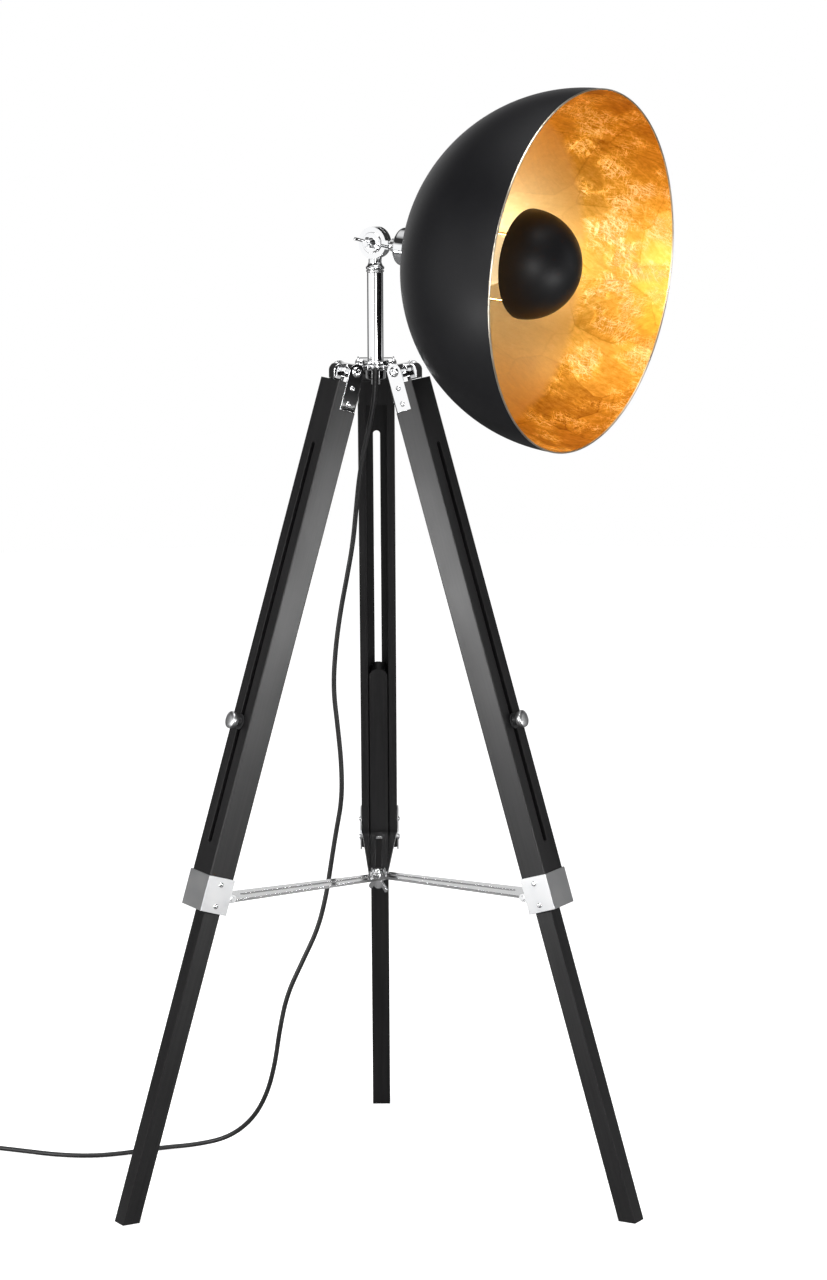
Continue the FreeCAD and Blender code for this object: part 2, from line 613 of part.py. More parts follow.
# ---------------------------------------------------------------- neck and knuckle
def build_neck():
    """Turned neck that swivels on the rod, with the rear half of the knuckle on top."""
    place = neck_placement()
    body = new_body("neck_fitting", place)
    under = "{knuckleHigh}-{knuckleRound}-0.4"
    stem = new_sketch(body, "XZ_Plane")
    closed_outline(stem, [
        ("{rodRound}+0.06", "{ferruleTop}+0.3"), ("{flareRound}-1", "{ferruleTop}+0.3"),
        ("{flareRound}-1", "{ferruleTop}+4.3", "2.25"), ("{neckRound}", "{ferruleTop}+9", "-9"),
        ("{neckRound}", under), ("0", under), ("0", "{ferruleTop}+6"),
        ("{rodRound}+0.06", "{ferruleTop}+6")])
    turn_about(body, stem)
    disc = new_sketch(body, "XZ_Plane", "-{knuckleGap}")
    circle_outline(disc, "0", "{knuckleHigh}", "{knuckleRound}")
    pad(body, disc, "{knuckleThick}", backwards=True)
    web = new_sketch(body, "XZ_Plane", "-{knuckleGap}-{webInset}")
    closed_outline(web, [
        ("-{knuckleWeb}", under + "-3"), ("{knuckleWeb}", under + "-3"),
        ("{knuckleWeb}", under + "+6"), ("-{knuckleWeb}", under + "+6")])
    pad(body, web, "{knuckleThick}-2*{webInset}", backwards=True)
    bore = new_sketch(body, "XZ_Plane")
    circle_outline(bore, "0", "{knuckleHigh}", "{tiltBolt}+{slip}")
    pocket(body, bore, "{through}", both_ways=True)
    centre = place.multiply(Placement(Vector(0, 0, size("{knuckleHigh}")), Rotation()))
    back, front = "{knuckleThick}+{knuckleGap}", "-({knuckleThick}+{knuckleGap})"
    turned("tilt_bolt", "YZ_Plane", [
        (front + "-{tiltReach}", "0"), (back + "+{tiltHeadHigh}", "0"),
        (back + "+{tiltHeadHigh}", "{tiltHead}-1.5"),
        (back + "+{tiltHeadHigh}-1.5", "{tiltHead}", "1.5"), (back, "{tiltHead}"),
        (back, "{tiltBolt}"), (front + "-{tiltReach}", "{tiltBolt}")], centre, "H_Axis")
    turned("tilt_washer", "YZ_Plane", [
        (front + "-1.6", "{tiltBolt}+{slip}"), (front + "-0.1", "{tiltBolt}+{slip}"),
        (front + "-0.1", "{tiltWasher}"), (front + "-1.1", "{tiltWasher}"),
        (front + "-1.6", "{tiltWasher}-0.5", "0.5")], centre, "H_Axis")
    facing = Rotation(X_AXIS, 90).multiply(Rotation(Z_AXIS, size("{wingTurn}")))
    seat = Placement(Vector(0, size(front + "-1.8"), 0), facing)
    build_wing_nut("tilt_wing_nut", "{tiltSpan}", "{tiltBolt}", centre.multiply(seat))


def build_knuckle_arm():
    """Front half of the knuckle and the short stub that carries the shade's cap."""
    body = new_body("knuckle_arm", head_placement())
    disc = new_sketch(body, "XZ_Plane", "{knuckleGap}")
    circle_outline(disc, "0", "0", "{knuckleRound}")
    pad(body, disc, "{knuckleThick}")
    web = new_sketch(body, "XZ_Plane", "{knuckleGap}+{webInset}")
    inner, outer = "{knuckleRound}-5.2", "{knuckleRound}+3.5"
    closed_outline(web, [
        (inner, "-{stubRound}"), (outer, "-{stubRound}"), (outer, "{stubRound}"),
        (inner, "{stubRound}")])
    pad(body, web, "{knuckleThick}")
    stub = new_sketch(body, "YZ_Plane", "{knuckleRound}+0.7")
    circle_outline(stub, "0", "0", "{stubRound}")
    pad(body, stub, "{capStart}-{knuckleRound}+2")
    bore = new_sketch(body, "XZ_Plane")
    circle_outline(bore, "0", "0", "{tiltBolt}+{slip}")
    pocket(body, bore, "{through}", both_ways=True)


# ---------------------------------------------------------------- shade and lamp
def bowl(label, outer, wall, hole, centre):
    """Thin hemisphere that opens towards +X, with a round hole at its pole."""
    inner = "(%s-%s)" % (outer, wall)
    turned(label, "XZ_Plane", [
        (centre, inner, "-" + inner), (centre, outer),
        (centre + "-sqrt((%s)^2-(%s)^2)" % (outer, hole), hole, outer),
        (centre + "-sqrt(%s^2-(%s)^2)" % (inner, hole), hole)], head_placement(), "H_Axis")


def build_shade():
    """Spun shade, its leafed lining, the bright rim and the small dome over the lamp."""
    lined = "({shadeRound}-{shadeWall}-{liningGap})"
    bowl("shade_shell", "{shadeRound}", "{shadeWall}", "{shadeHole}", "{rimReach}")
    bowl("shade_lining", lined, "{liningWall}", "{shadeHole}", "{rimReach}")
    seat, edge = "{rimReach}+0.1", "{rimReach}+{rimThick}"
    turned("shade_rim", "XZ_Plane", [
        (seat, "{shadeRound}+0.3"), (edge, "{shadeRound}-0.2", "-1.6"),
        (edge, "{shadeRound}-{rimWide}+0.8"), (seat, "{shadeRound}-{rimWide}+0.3", "-1.6")],
        head_placement(), "H_Axis")
    centre, dome = "({rimReach}-{domeBack})", "({domeRound}-{domeWall})"
    turned("glare_dome", "XZ_Plane", [
        (centre, dome), (centre + "+" + dome, "0", "-" + dome),
        (centre + "+{domeRound}", "0"), (centre, "{domeRound}", "{domeRound}")],
        head_placement(), "H_Axis")
    wide = "({rodRadius}+{rodThick})"
    front = centre + "+sqrt(%s^2-%s^2)-0.1" % (dome, wide)
    back = "{rimReach}-sqrt((%s-{liningWall})^2-%s^2)+0.2" % (lined, wide)
    rods = []
    for turn in (40, 160, 280):
        lean = math.radians(turn)
        radius = size("{rodRadius}")
        base = Vector(size(back), -radius * math.sin(lean), radius * math.cos(lean))
        rods.append(cylinder("{rodThick}", "%s-(%s)" % (front, back), base, X_AXIS))
    gather("dome_rods", rods, head_placement())


def build_lamp():
    """Cap behind the shade, the screw lamp holder in it, its ring and the bulb."""
    place = head_placement()
    cap, wall, neck = "{capRound}", "{capWall}", "{capNeck}"
    turned("shade_cap", "XZ_Plane", [
        ("{capStart}", "{stubRound}+0.05"), ("{capStart}", neck), ("{capStart}+8", neck),
        ("{capStart}+11", cap + "-5"), ("{capStart}+16", cap, "-5"), ("{capEnd}", cap),
        ("{capEnd}", cap + "-" + wall), ("{capStart}+16", cap + "-" + wall),
        ("{capStart}+12", cap + "-5.5"), ("{capStart}+12", "{stubRound}+0.05")], place, "H_Axis")
    holder, bore = "{holderRound}", "{socketBore}"
    turned("lamp_holder", "XZ_Plane", [
        ("{capStart}+17", "0"), ("{capStart}+17", "14"), ("{capStart}+22", holder),
        ("{holderEnd}", holder), ("{holderEnd}", bore + "+1"), ("{holderEnd}-2", bore),
        ("{holderEnd}-30", bore), ("{holderEnd}-30", "0")], place, "H_Axis")
    ring_back = "{rimReach}-sqrt(({shadeRound}-1.4)^2-27^2)+0.3"
    turned("holder_ring", "XZ_Plane", [
        (ring_back, holder + "+0.1"), (ring_back, "27"), (ring_back + "+3", "27"),
        (ring_back + "+5", "24"), (ring_back + "+9", "23"), (ring_back + "+9", holder + "+0.1")],
        place, "H_Axis")
    base, glass, thin = "{bulbBase}", "{bulbRound}", "{bulbWall}"
    turned("bulb_base", "XZ_Plane", [
        ("{holderEnd}-29", "0"), ("{holderEnd}-29", "5"), ("{holderEnd}-25", base),
        ("{holderEnd}-1", base), ("{holderEnd}-1", "0")], place, "H_Axis")
    foot, middle, waist = "{holderEnd}-1", "{holderEnd}+50", "0.6*{bulbRound}"
    turned("bulb_glass", "XZ_Plane", [
        (foot, "{bulbNeck}-0.6-" + thin), (foot, "{bulbNeck}-0.6"),
        (foot + "+9", "{bulbNeck}+0.4"), (middle + "-" + waist, "0.8*" + glass, "-60"),
        (middle, glass, "-" + glass), (middle + "+" + glass, "0", "-" + glass),
        (middle + "+" + glass + "-" + thin, "0"), (middle, glass + "-" + thin, glass + "-" + thin),
        (middle + "-" + waist, "sqrt((" + glass + "-" + thin + ")^2-(" + waist + ")^2)",
         glass + "-" + thin), (foot + "+9", "{bulbNeck}+0.4-" + thin, "60-" + thin)],
        place, "H_Axis")


# ---------------------------------------------------------------- mains lead
# Route of the lead in the lamp's frame, from under the crown to the foot switch.
LEAD_TO_SWITCH = [
    (0, -11.6, 944.8), (-0.5, -11.5, 920), (-5, -9, 893), (-12, -4, 862), (-19, 2, 825),
    (-23, 8, 785), (-27, 13, 745), (-34, 19, 706), (-42, 26, 664), (-48, 32, 620),
    (-51, 36, 573), (-46, 38, 527), (-42, 42, 482), (-42, 46, 440), (-49, 51, 402),
    (-55, 55, 364), (-61, 57, 325), (-71, 60, 284), (-90, 64, 243), (-108, 68, 203),
    (-117, 73, 160), (-123, 80, 117), (-133, 90, 77), (-151, 104, 42), (-180, 122, 15),
    (-218, 130, 4), (-260, 122, 2.8), (-300, 100, 2.8), (-340, 88, 2.8), (-383, 94, 2.8),
    (-425, 112, 2.8), (-465, 128, 2.8), (-506, 130, 4.5), (-545, 124, 8.5)]
LEAD_TO_COIL = [
    (-607, 124, 8.5), (-626, 121, 6), (-644, 110, 4.2), (-654, 92, 4.2), (-657, 72, 5)]
COIL_CENTRE = (-626, 60, 0)
SWITCH_CENTRE = (-576, 124, 0)
PLUG_FACE = (-548, 29, 6.8)


def rounded_path(points, report):
    """Straight runs joined by tangent arcs as large as the two runs at each point allow."""
    points = [Vector(*point) for point in points]
    edges = []
    start = points[0]
    radii = []
    for index in range(1, len(points) - 1):
        before = points[index - 1] - points[index]
        after = points[index + 1] - points[index]
        short = min(before.Length, after.Length)
        turn = math.pi - before.getAngle(after)
        reach = 0.45 * short
        radii.append(reach / math.tan(turn / 2))
        before.normalize()
        after.normalize()
        enter = points[index] + before * reach
        leave = points[index] + after * reach
        inward = (before + after).normalize()
        centre = points[index] + inward * (radii[-1] / math.cos(turn / 2))
        middle = centre - inward * radii[-1]
        edges.append(Part.LineSegment(start, enter).toShape())
        edges.append(Part.Arc(enter, middle, leave).toShape())
        start = leave
    edges.append(Part.LineSegment(start, points[-1]).toShape())
    print(report, "smallest bend radius %.0f mm" % min(radii))
    return Part.Wire(edges)


def swept_lead(points, report):
    """Round lead along a route, its volume checked against section times length."""
    path = rounded_path(points, report)
    radius = size("{cordRound}")
    first = path.Edges[0]
    direction = first.tangentAt(first.FirstParameter)
    section = Part.Wire([Part.Circle(Vector(*points[0]), direction, radius).toShape()])
    solid = path.makePipeShell([section], True, False)
    expected = math.pi * radius ** 2 * path.Length
    print(report, "length %.0f mm, volume ratio %.4f" % (path.Length, solid.Volume / expected))
    return solid


def build_lead():
    """Mains lead, foot switch, coil of spare lead and plug."""
    lead = doc.addObject("Part::Feature", "cord_tube")
    lead.Label = "cord_tube"
    lead.Shape = Part.Compound([
        swept_lead(LEAD_TO_SWITCH, "lead to the switch"),
        swept_lead(LEAD_TO_COIL, "lead to the coil")])
    lead.Placement = lamp_frame()
    exported.append(lead)
    switch = Placement(Vector(*SWITCH_CENTRE), Rotation())
    outer, high, well = "{switchRound}", "{switchHigh}", "{buttonRound}+0.4"
    turned("switch_housing", "XZ_Plane", [
        ("0", "0"), (outer, "0"), (outer, "11"), (outer + "-9", high, "14"),
        (well, high), (well, high + "-8"), ("0", high + "-8")], switch)
    button = "{buttonRound}"
    turned("switch_button", "XZ_Plane", [
        ("0", high + "-{buttonSink}-1"), (button, high + "-{buttonSink}-1"),
        (button, high + "+{buttonHigh}-{buttonSink}-1"),
        (button + "-2", high + "+{buttonHigh}-{buttonSink}+0.5", "3"),
        ("0", high + "+{buttonHigh}-{buttonSink}+1.2")], switch)
    thick = "{coilThick}"
    turned("cord_coil", "XZ_Plane", [
        ("{coilRound}", "0.01", thick), ("{coilRound}+" + thick, thick, thick),
        ("{coilRound}", "2*" + thick, thick), ("{coilRound}-" + thick, thick, thick)],
        Placement(Vector(*COIL_CENTRE), Rotation()))
    plug_place = Placement(Vector(*PLUG_FACE), Rotation(Z_AXIS, 90))
    plug = new_body("plug_body", plug_place)
    shell = new_sketch(plug, "XY_Plane")
    wide = "{plugWide}/2"
    closed_outline(shell, [
        ("-10", "0"), ("10", "0"), (wide + "-2", "7"), (wide, "10", "3.6"), (wide, "13"),
        (wide + "-2", "16", "3.6"), ("6", "{plugLong}"), ("-6", "{plugLong}"),
        ("2-" + wide, "16"), ("-" + wide, "13", "3.6"), ("-" + wide, "10"),
        ("2-" + wide, "7", "3.6")])
    pad(plug, shell, "{plugHigh}", both_ways=True)
    sleeve = new_sketch(plug, "XY_Plane")
    closed_outline(sleeve, [
        ("0", "{plugLong}-2"), ("{sleeveThick}", "{plugLong}-2"), ("{sleeveThick}", "{plugLong}"),
        ("{sleeveThin}", "{plugLong}+{sleeveLong}"), ("0", "{plugLong}+{sleeveLong}")])
    turn_about(plug, sleeve)
    pins = []
    for way in (1, -1):
        base = Vector(way * size("{plugPinGap}/2"), 0, 0)
        pins.append(cylinder("{plugPin}", "{plugPinLong}", base, Y_AXIS * -1))
    gather("plug_pins", pins, plug_place)


# ---------------------------------------------------------------- build, check, write
build_crown_casting()
build_column()
build_legs()
build_spreader()
build_neck()
build_knuckle_arm()
build_shade()
build_lamp()
build_lead()
doc.recompute()

for item in doc.Objects:
    if "Invalid" in item.State or "Error" in item.State:
        raise RuntimeError("%s (%s) failed: %s" % (item.Label, item.Name, item.State))
for item in exported:
    if item.Shape.isNull() or not item.Shape.isValid() or not item.Shape.Solids:
        raise RuntimeError("%s has no valid solid" % item.Label)
os.makedirs("parts", exist_ok=True)
for item in exported:
    item.Shape.exportStep("parts/%s.step" % item.Label)
print("%d sub-parts written" % len(exported))
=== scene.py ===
"""Tripod floor lamp: black timber legs that fold and lengthen, chrome fittings, leafed shade."""
import json
import math
import bmesh
import bpy
from mathutils import Matrix, Vector

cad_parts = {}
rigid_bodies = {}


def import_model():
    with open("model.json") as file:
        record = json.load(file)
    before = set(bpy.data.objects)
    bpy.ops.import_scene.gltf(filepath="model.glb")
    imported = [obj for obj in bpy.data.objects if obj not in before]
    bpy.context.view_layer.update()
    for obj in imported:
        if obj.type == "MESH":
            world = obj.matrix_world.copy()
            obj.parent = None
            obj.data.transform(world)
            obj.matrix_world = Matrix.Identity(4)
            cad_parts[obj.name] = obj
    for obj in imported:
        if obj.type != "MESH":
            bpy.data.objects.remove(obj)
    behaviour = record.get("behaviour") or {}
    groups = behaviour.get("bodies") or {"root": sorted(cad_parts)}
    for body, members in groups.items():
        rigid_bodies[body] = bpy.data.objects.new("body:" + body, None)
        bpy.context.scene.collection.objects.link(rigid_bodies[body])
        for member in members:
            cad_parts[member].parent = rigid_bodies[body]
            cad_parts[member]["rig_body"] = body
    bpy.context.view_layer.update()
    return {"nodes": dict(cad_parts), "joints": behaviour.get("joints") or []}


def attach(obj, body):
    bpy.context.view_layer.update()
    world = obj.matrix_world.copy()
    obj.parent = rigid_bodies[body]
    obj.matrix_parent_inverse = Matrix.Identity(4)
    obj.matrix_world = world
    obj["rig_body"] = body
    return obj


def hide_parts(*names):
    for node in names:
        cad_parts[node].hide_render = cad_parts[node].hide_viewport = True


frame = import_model()
nodes = frame["nodes"]
joints = {joint["name"]: joint for joint in frame["joints"]}

# ---------------------------------------------------------------- studio and viewer
# A floor and a backdrop that the viewer sees as plain white. The chrome mirrors bright
# and dark bands round the room, and six soft panels light the lamp. The viewer stands
# five metres away and looks slightly down through a long lens.
column_foot = Vector(joints["head_swivel"]["pos_m"]) * Vector((1, 1, 0))
VIEWER_FROM_COLUMN = Vector((0.0414, -5.3031, 1.6005))
VIEWER_LOOKS_DOWN = math.radians(10.31)
VIEWER_ROLL = math.radians(-0.23)
VIEWER_LENS = 133.3
FLOOR_ROUND, FLOOR_DROP = 4.6, 0.0005
LIGHTS_AIM = Vector((0, 0, 0.55))


def link(made):
    """Put an object in the scene."""
    bpy.context.scene.collection.objects.link(made)
    return made


def add_node(tree, kind, *values, **settings):
    """A node: values go to its first sockets, settings to properties or sockets by name."""
    made = tree.nodes.new(kind)
    for key, value in settings.items():
        if hasattr(made, key) and key not in made.inputs:
            setattr(made, key, value)
    pairs = [(made.inputs[index], value) for index, value in enumerate(values)]
    pairs += [(made.inputs[key.replace("_", " ")], value) for key, value in settings.items()
              if key.replace("_", " ") in made.inputs]
    for socket, value in pairs:
        if isinstance(value, bpy.types.NodeSocket):
            tree.links.new(value, socket)
        elif value is not None:
            socket.default_value = value
    return made


def calculate(tree, operation, *values):
    return add_node(tree, "ShaderNodeMath", *values, operation=operation).outputs[0]


def map_range(tree, value, low, high, to_low, to_high):
    return add_node(tree, "ShaderNodeMapRange", value, low, high, to_low, to_high).outputs[0]


def mix_colours(tree, factor, first, second):
    made = add_node(tree, "ShaderNodeMix", data_type="RGBA")
    for socket, value in ((made.inputs[0], factor), (made.inputs[6], first),
                          (made.inputs[7], second)):
        if isinstance(value, bpy.types.NodeSocket):
            tree.links.new(value, socket)
        else:
            socket.default_value = value
    return made.outputs[2]


def grey(bright):
    return (bright, bright, bright, 1)


def colour_ramp(tree, factor, stops):
    """The colour at a place between (place, colour) stops."""
    made = tree.nodes.new("ShaderNodeValToRGB")
    elements = made.color_ramp.elements
    while len(elements) < len(stops):
        elements.new(0.5)
    for element, (place, _) in zip(elements, stops):
        element.position = place
    for element, (_, colour) in zip(elements, stops):
        element.color = colour
    tree.links.new(factor, made.inputs[0])
    return made.outputs[0]


def new_material(name, **settings):
    """A material, its node tree and its shader, with the shader's even values set."""
    material = bpy.data.materials.new(name)
    material.use_nodes = True
    shader = material.node_tree.nodes["Principled BSDF"]
    for key, value in settings.items():
        shader.inputs[key.replace("_", " ")].default_value = value
    return material, material.node_tree, shader


camera_lens = bpy.data.cameras.new("viewer")
camera_lens.lens = VIEWER_LENS
camera_lens.clip_end = 60
camera = link(bpy.data.objects.new("viewer", camera_lens))
camera.matrix_world = (Matrix.Translation(column_foot + VIEWER_FROM_COLUMN)
                       @ Matrix.Rotation(math.pi / 2 - VIEWER_LOOKS_DOWN, 4, "X")
                       @ Matrix.Rotation(VIEWER_ROLL, 4, "Z"))
bpy.context.scene.camera = camera
bpy.context.scene.view_settings.view_transform = "Standard"

floor_mesh = bpy.data.meshes.new("floor")
floor_build = bmesh.new()
bmesh.ops.create_circle(floor_build, cap_ends=True, segments=96, radius=FLOOR_ROUND)
floor_build.to_mesh(floor_mesh)
floor_build.free()
floor = link(bpy.data.objects.new("floor", floor_mesh))
floor.location.z = -FLOOR_DROP
floor_paint, floor_tree, floor_shader = new_material("pale floor", Roughness=0.9,
                                                     Emission_Strength=0.75)
speckle = add_node(floor_tree, "ShaderNodeTexNoise", Scale=3.0)
tint = mix_colours(floor_tree, speckle.outputs[0], grey(0.90), grey(0.93))
rays = add_node(floor_tree, "ShaderNodeLightPath").outputs
tint = mix_colours(floor_tree, rays["Is Glossy Ray"], tint, grey(0.22))
floor_tree.links.new(tint, floor_shader.inputs["Base Color"])
glare = mix_colours(floor_tree, rays["Is Camera Ray"], grey(0), grey(1))
floor_tree.links.new(glare, floor_shader.inputs["Emission Color"])
floor_mesh.materials.append(floor_paint)

sky = bpy.data.worlds.new("studio")
sky.use_nodes = True
bpy.context.scene.world = sky
sky_tree = sky.node_tree
sky_light = sky_tree.nodes["Background"]
heading = add_node(sky_tree, "ShaderNodeSeparateXYZ",
                   add_node(sky_tree, "ShaderNodeTexCoord").outputs["Generated"]).outputs
turn = calculate(sky_tree, "ARCTAN2", heading[0], calculate(sky_tree, "MULTIPLY", heading[1], -1))
around = map_range(sky_tree, turn, -math.pi, math.pi, 0.0, 1.0)
# (degrees round the room, brightness there)
ROOM_BANDS = (
    (-180, 0.78), (-154, 0.78), (-138, 0.04), (-116, 0.03), (-104, 1.1), (-14, 1.2), (-9, 0.02),
    (-4, 0.02), (0, 1.2), (18, 1.2), (25, 0.01), (84, 0.01), (92, 1.1), (104, 1.1),
    (116, 0.03), (138, 0.03), (154, 0.78), (180, 0.78))
bands = colour_ramp(sky_tree, around, [((degrees + 180) / 360, grey(bright))
                                       for degrees, bright in ROOM_BANDS])
wall_top = map_range(sky_tree, heading[2], 0.22, 0.40, 0.0, 1.0)
walls = mix_colours(sky_tree, wall_top, bands, grey(0.04))
overhead = map_range(sky_tree, heading[2], 0.70, 0.85, 0.0, 1.0)
lit = mix_colours(sky_tree, overhead, walls, grey(0.8))
rays = add_node(sky_tree, "ShaderNodeLightPath").outputs
lit = mix_colours(sky_tree, rays["Is Diffuse Ray"], lit, grey(0.30))
seen = mix_colours(sky_tree, rays["Is Camera Ray"], lit, grey(1.0))
sky_tree.links.new(seen, sky_light.inputs[0])

# each panel's place, sides and watts
SOFT_LIGHTS = {
    "front_left": ((-2.6, -3.0, 2.6), (1.4, 1.4), 40),
    "above": ((0.2, -0.6, 3.4), (1.6, 1.6), 40),
    "low_board_left": ((-1.42, -0.95, 0.42), (0.9, 0.18), 10),
    "low_board_right": ((1.40, -0.95, 0.42), (0.9, 0.18), 10),
    "shade_side": ((-1.6, -3.6, 1.9), (0.5, 0.9), 7),
    "beside_viewer": ((0.95, -3.9, 1.0), (0.9, 1.1), 42),
}
for name, (place, sides, watts) in SOFT_LIGHTS.items():
    panel = bpy.data.lights.new(name, "AREA")
    panel.shape = "RECTANGLE"
    panel.size, panel.size_y = sides
    panel.energy = watts
    lamp = link(bpy.data.objects.new(name, panel))
    lamp.location = place
    lamp.rotation_euler = (LIGHTS_AIM - Vector(place)).to_track_quat("-Z", "Y").to_euler()
    lamp.visible_camera = False

# ---------------------------------------------------------------- mains lead
# Round black PVC lead. It leaves the crown through a bush beside the rod, hangs down
# between the legs, crosses the floor to a foot switch, and the spare length is wound in
# a small coil with a tie before the moulded plug.
LEAD_THICK = 0.0055
ROUTE_TO_SWITCH = [
    (0, -0.0116, 0.9448), (-0.0005, -0.0115, 0.920), (-0.005, -0.009, 0.893),
    (-0.012, -0.004, 0.862), (-0.019, 0.002, 0.825), (-0.023, 0.008, 0.785),
    (-0.027, 0.013, 0.745), (-0.034, 0.019, 0.706), (-0.042, 0.026, 0.664),
    (-0.048, 0.032, 0.620), (-0.051, 0.036, 0.573), (-0.046, 0.038, 0.527),
    (-0.042, 0.042, 0.482), (-0.042, 0.046, 0.440), (-0.049, 0.051, 0.402),
    (-0.055, 0.055, 0.364), (-0.061, 0.057, 0.325), (-0.071, 0.060, 0.284),
    (-0.090, 0.064, 0.243), (-0.108, 0.068, 0.203), (-0.117, 0.073, 0.160),
    (-0.123, 0.080, 0.117), (-0.133, 0.090, 0.077), (-0.151, 0.104, 0.042),
    (-0.180, 0.122, 0.015), (-0.218, 0.130, 0.004), (-0.260, 0.122, 0.0028),
    (-0.300, 0.100, 0.0028), (-0.340, 0.088, 0.0028), (-0.383, 0.094, 0.0028),
    (-0.425, 0.112, 0.0028), (-0.465, 0.128, 0.0028), (-0.506, 0.130, 0.0045),
    (-0.545, 0.124, 0.0085)]
ROUTE_TO_COIL = [
    (-0.576, 0.124, 0.0085), (-0.607, 0.124, 0.0085), (-0.626, 0.121, 0.006),
    (-0.644, 0.110, 0.0042), (-0.654, 0.092, 0.0036), (-0.6595, 0.074, 0.003)]
COIL_CENTRE = Vector((-0.626, 0.060, 0))
COIL_ROUNDS, POINTS_A_ROUND = 3.25, 16
# each round's radius and height; the lead crosses to the next in a round's last quarter
COIL_LAYERS = ((0.0338, 0.0029), (0.0282, 0.0029), (0.0310, 0.0079), (0.0310, 0.0079))
ROUTE_TO_PLUG = [(-0.611, 0.029, 0.0075), (-0.597, 0.029, 0.0069), (-0.581, 0.029, 0.0068)]
# where the lead enters and leaves the foot switch
SWITCH_IN, SWITCH_OUT = (-0.5455, 0.124, 0.0085), (-0.6065, 0.124, 0.0085)


def near_column(point):
    """A place given from the column's foot."""
    return column_foot + Vector(point)


coil_points = []
for step in range(1, round(COIL_ROUNDS * POINTS_A_ROUND) + 1):
    way = step / POINTS_A_ROUND
    layers = COIL_LAYERS[int(way):int(way) + 2]
    ease = min(1, max(0, (way % 1 - 0.75) * 4))
    reach, height = (here + (onward - here) * ease for here, onward in zip(layers[0], layers[-1]))
    angle = math.pi + math.tau * way
    coil_points.append(COIL_CENTRE
                       + Vector((reach * math.cos(angle), reach * math.sin(angle), height)))
route = [near_column(point)
         for point in ROUTE_TO_SWITCH + ROUTE_TO_COIL + coil_points + ROUTE_TO_PLUG]


def spline_curve(name, points, thick):
    """Smooth curve with the points as its control points, round when it has a thickness."""
    curve = bpy.data.curves.new(name, "CURVE")
    curve.dimensions = "3D"
    spline = curve.splines.new("NURBS")
    spline.points.add(len(points) - 1)
    for held, point in zip(spline.points, points):
        held.co = (*point, 1)
    spline.order_u = 3
    spline.use_endpoint_u = True
    spline.resolution_u = 8
    curve.bevel_depth = thick / 2
    curve.bevel_resolution = 5
    curve.use_fill_caps = True
    return link(bpy.data.objects.new(name, curve))


def node_group(name, kind, takes, gives):
    """A node group with named sockets: its tree, what it is given and where it puts out."""
    tree = bpy.data.node_groups.new(name, kind)
    for way, sockets in (("INPUT", takes), ("OUTPUT", gives)):
        for socket, label in sockets:
            tree.interface.new_socket(name=label, in_out=way, socket_type="NodeSocket" + socket)
    given = tree.nodes.new("NodeGroupInput").outputs
    result = tree.nodes.new("NodeGroupOutput").inputs
    return tree, given, result


def polish_group():
    """Shared effect: slow uneven polish and a fine grain, both over object space."""
    group, given, result = node_group(
        "uneven polish", "ShaderNodeTree",
        (("Float", "Scale"), ("Float", "Fine Scale"), ("Float", "Low"), ("Float", "High"),
         ("Vector", "Vector")),
        (("Float", "Roughness"), ("Float", "Height"), ("Float", "Mask")))
    slow = add_node(group, "ShaderNodeTexNoise", Vector=given["Vector"], Scale=given["Scale"],
                    Detail=4.0, Roughness=0.6).outputs[0]
    fine = add_node(group, "ShaderNodeTexNoise", Vector=given["Vector"],
                    Scale=given["Fine Scale"], Detail=2.0).outputs[0]
    spread = map_range(group, slow, 0.3, 0.7, given["Low"], given["High"])
    group.links.new(spread, result["Roughness"])
    group.links.new(fine, result["Height"])
    group.links.new(slow, result["Mask"])
    return group


uneven_polish = polish_group()


def mottled(name, dark, light, scale, fine_scale, rough, bump, depth, **settings):
    """A finish whose colour and polish drift slowly, over a fine relief."""
    material, tree, shader = new_material(name, **settings)
    place = add_node(tree, "ShaderNodeTexCoord").outputs["Object"]
    effect = add_node(tree, "ShaderNodeGroup", node_tree=uneven_polish, Scale=scale,
                      Fine_Scale=fine_scale, Low=rough[0], High=rough[1], Vector=place).outputs
    relief = add_node(tree, "ShaderNodeBump", Strength=bump, Distance=depth,
                      Height=effect["Height"])
    colour = mix_colours(tree, map_range(tree, effect["Mask"], 0.3, 0.7, 0.0, 1.0), dark, light)
    tree.links.new(colour, shader.inputs["Base Color"])
    tree.links.new(effect["Roughness"], shader.inputs["Roughness"])
    tree.links.new(relief.outputs[0], shader.inputs["Normal"])
    return material


black_pvc = mottled("black pvc", (0.010, 0.010, 0.011, 1), grey(0.018), scale=60, fine_scale=1500,
                    rough=(0.36, 0.5), bump=0.15, depth=0.0002)
black_plastic = mottled("moulded black plastic", (0.012, 0.012, 0.013, 1),
                        (0.020, 0.020, 0.021, 1), scale=45, fine_scale=2200,
                        rough=(0.30, 0.42), bump=0.25, depth=0.0002)


def dress(node_name, material):
    """Give a piece that keeps its own shape its finish."""
    mesh = nodes[node_name].data
    mesh.materials.clear()
    mesh.materials.append(material)


def stitch(build, rings):
    """Faces between neighbouring rings; a ring of one point closes to a tip."""
    for near, far in zip(rings, rings[1:]):
        steps = max(len(near), len(far))
        for step in range(steps):
            after = (step + 1) % steps
            corners = (near[step % len(near)], near[after % len(near)],
                       far[after % len(far)], far[step % len(far)])
            build.faces.new(list(dict.fromkeys(corners)))


def shade_smooth(mesh, sharp):
    """Soft shading, but for the edges sharper than an angle in degrees."""
    mesh.polygons.foreach_set("use_smooth", [True] * len(mesh.polygons))
    mesh.set_sharp_from_angle(angle=math.radians(sharp))


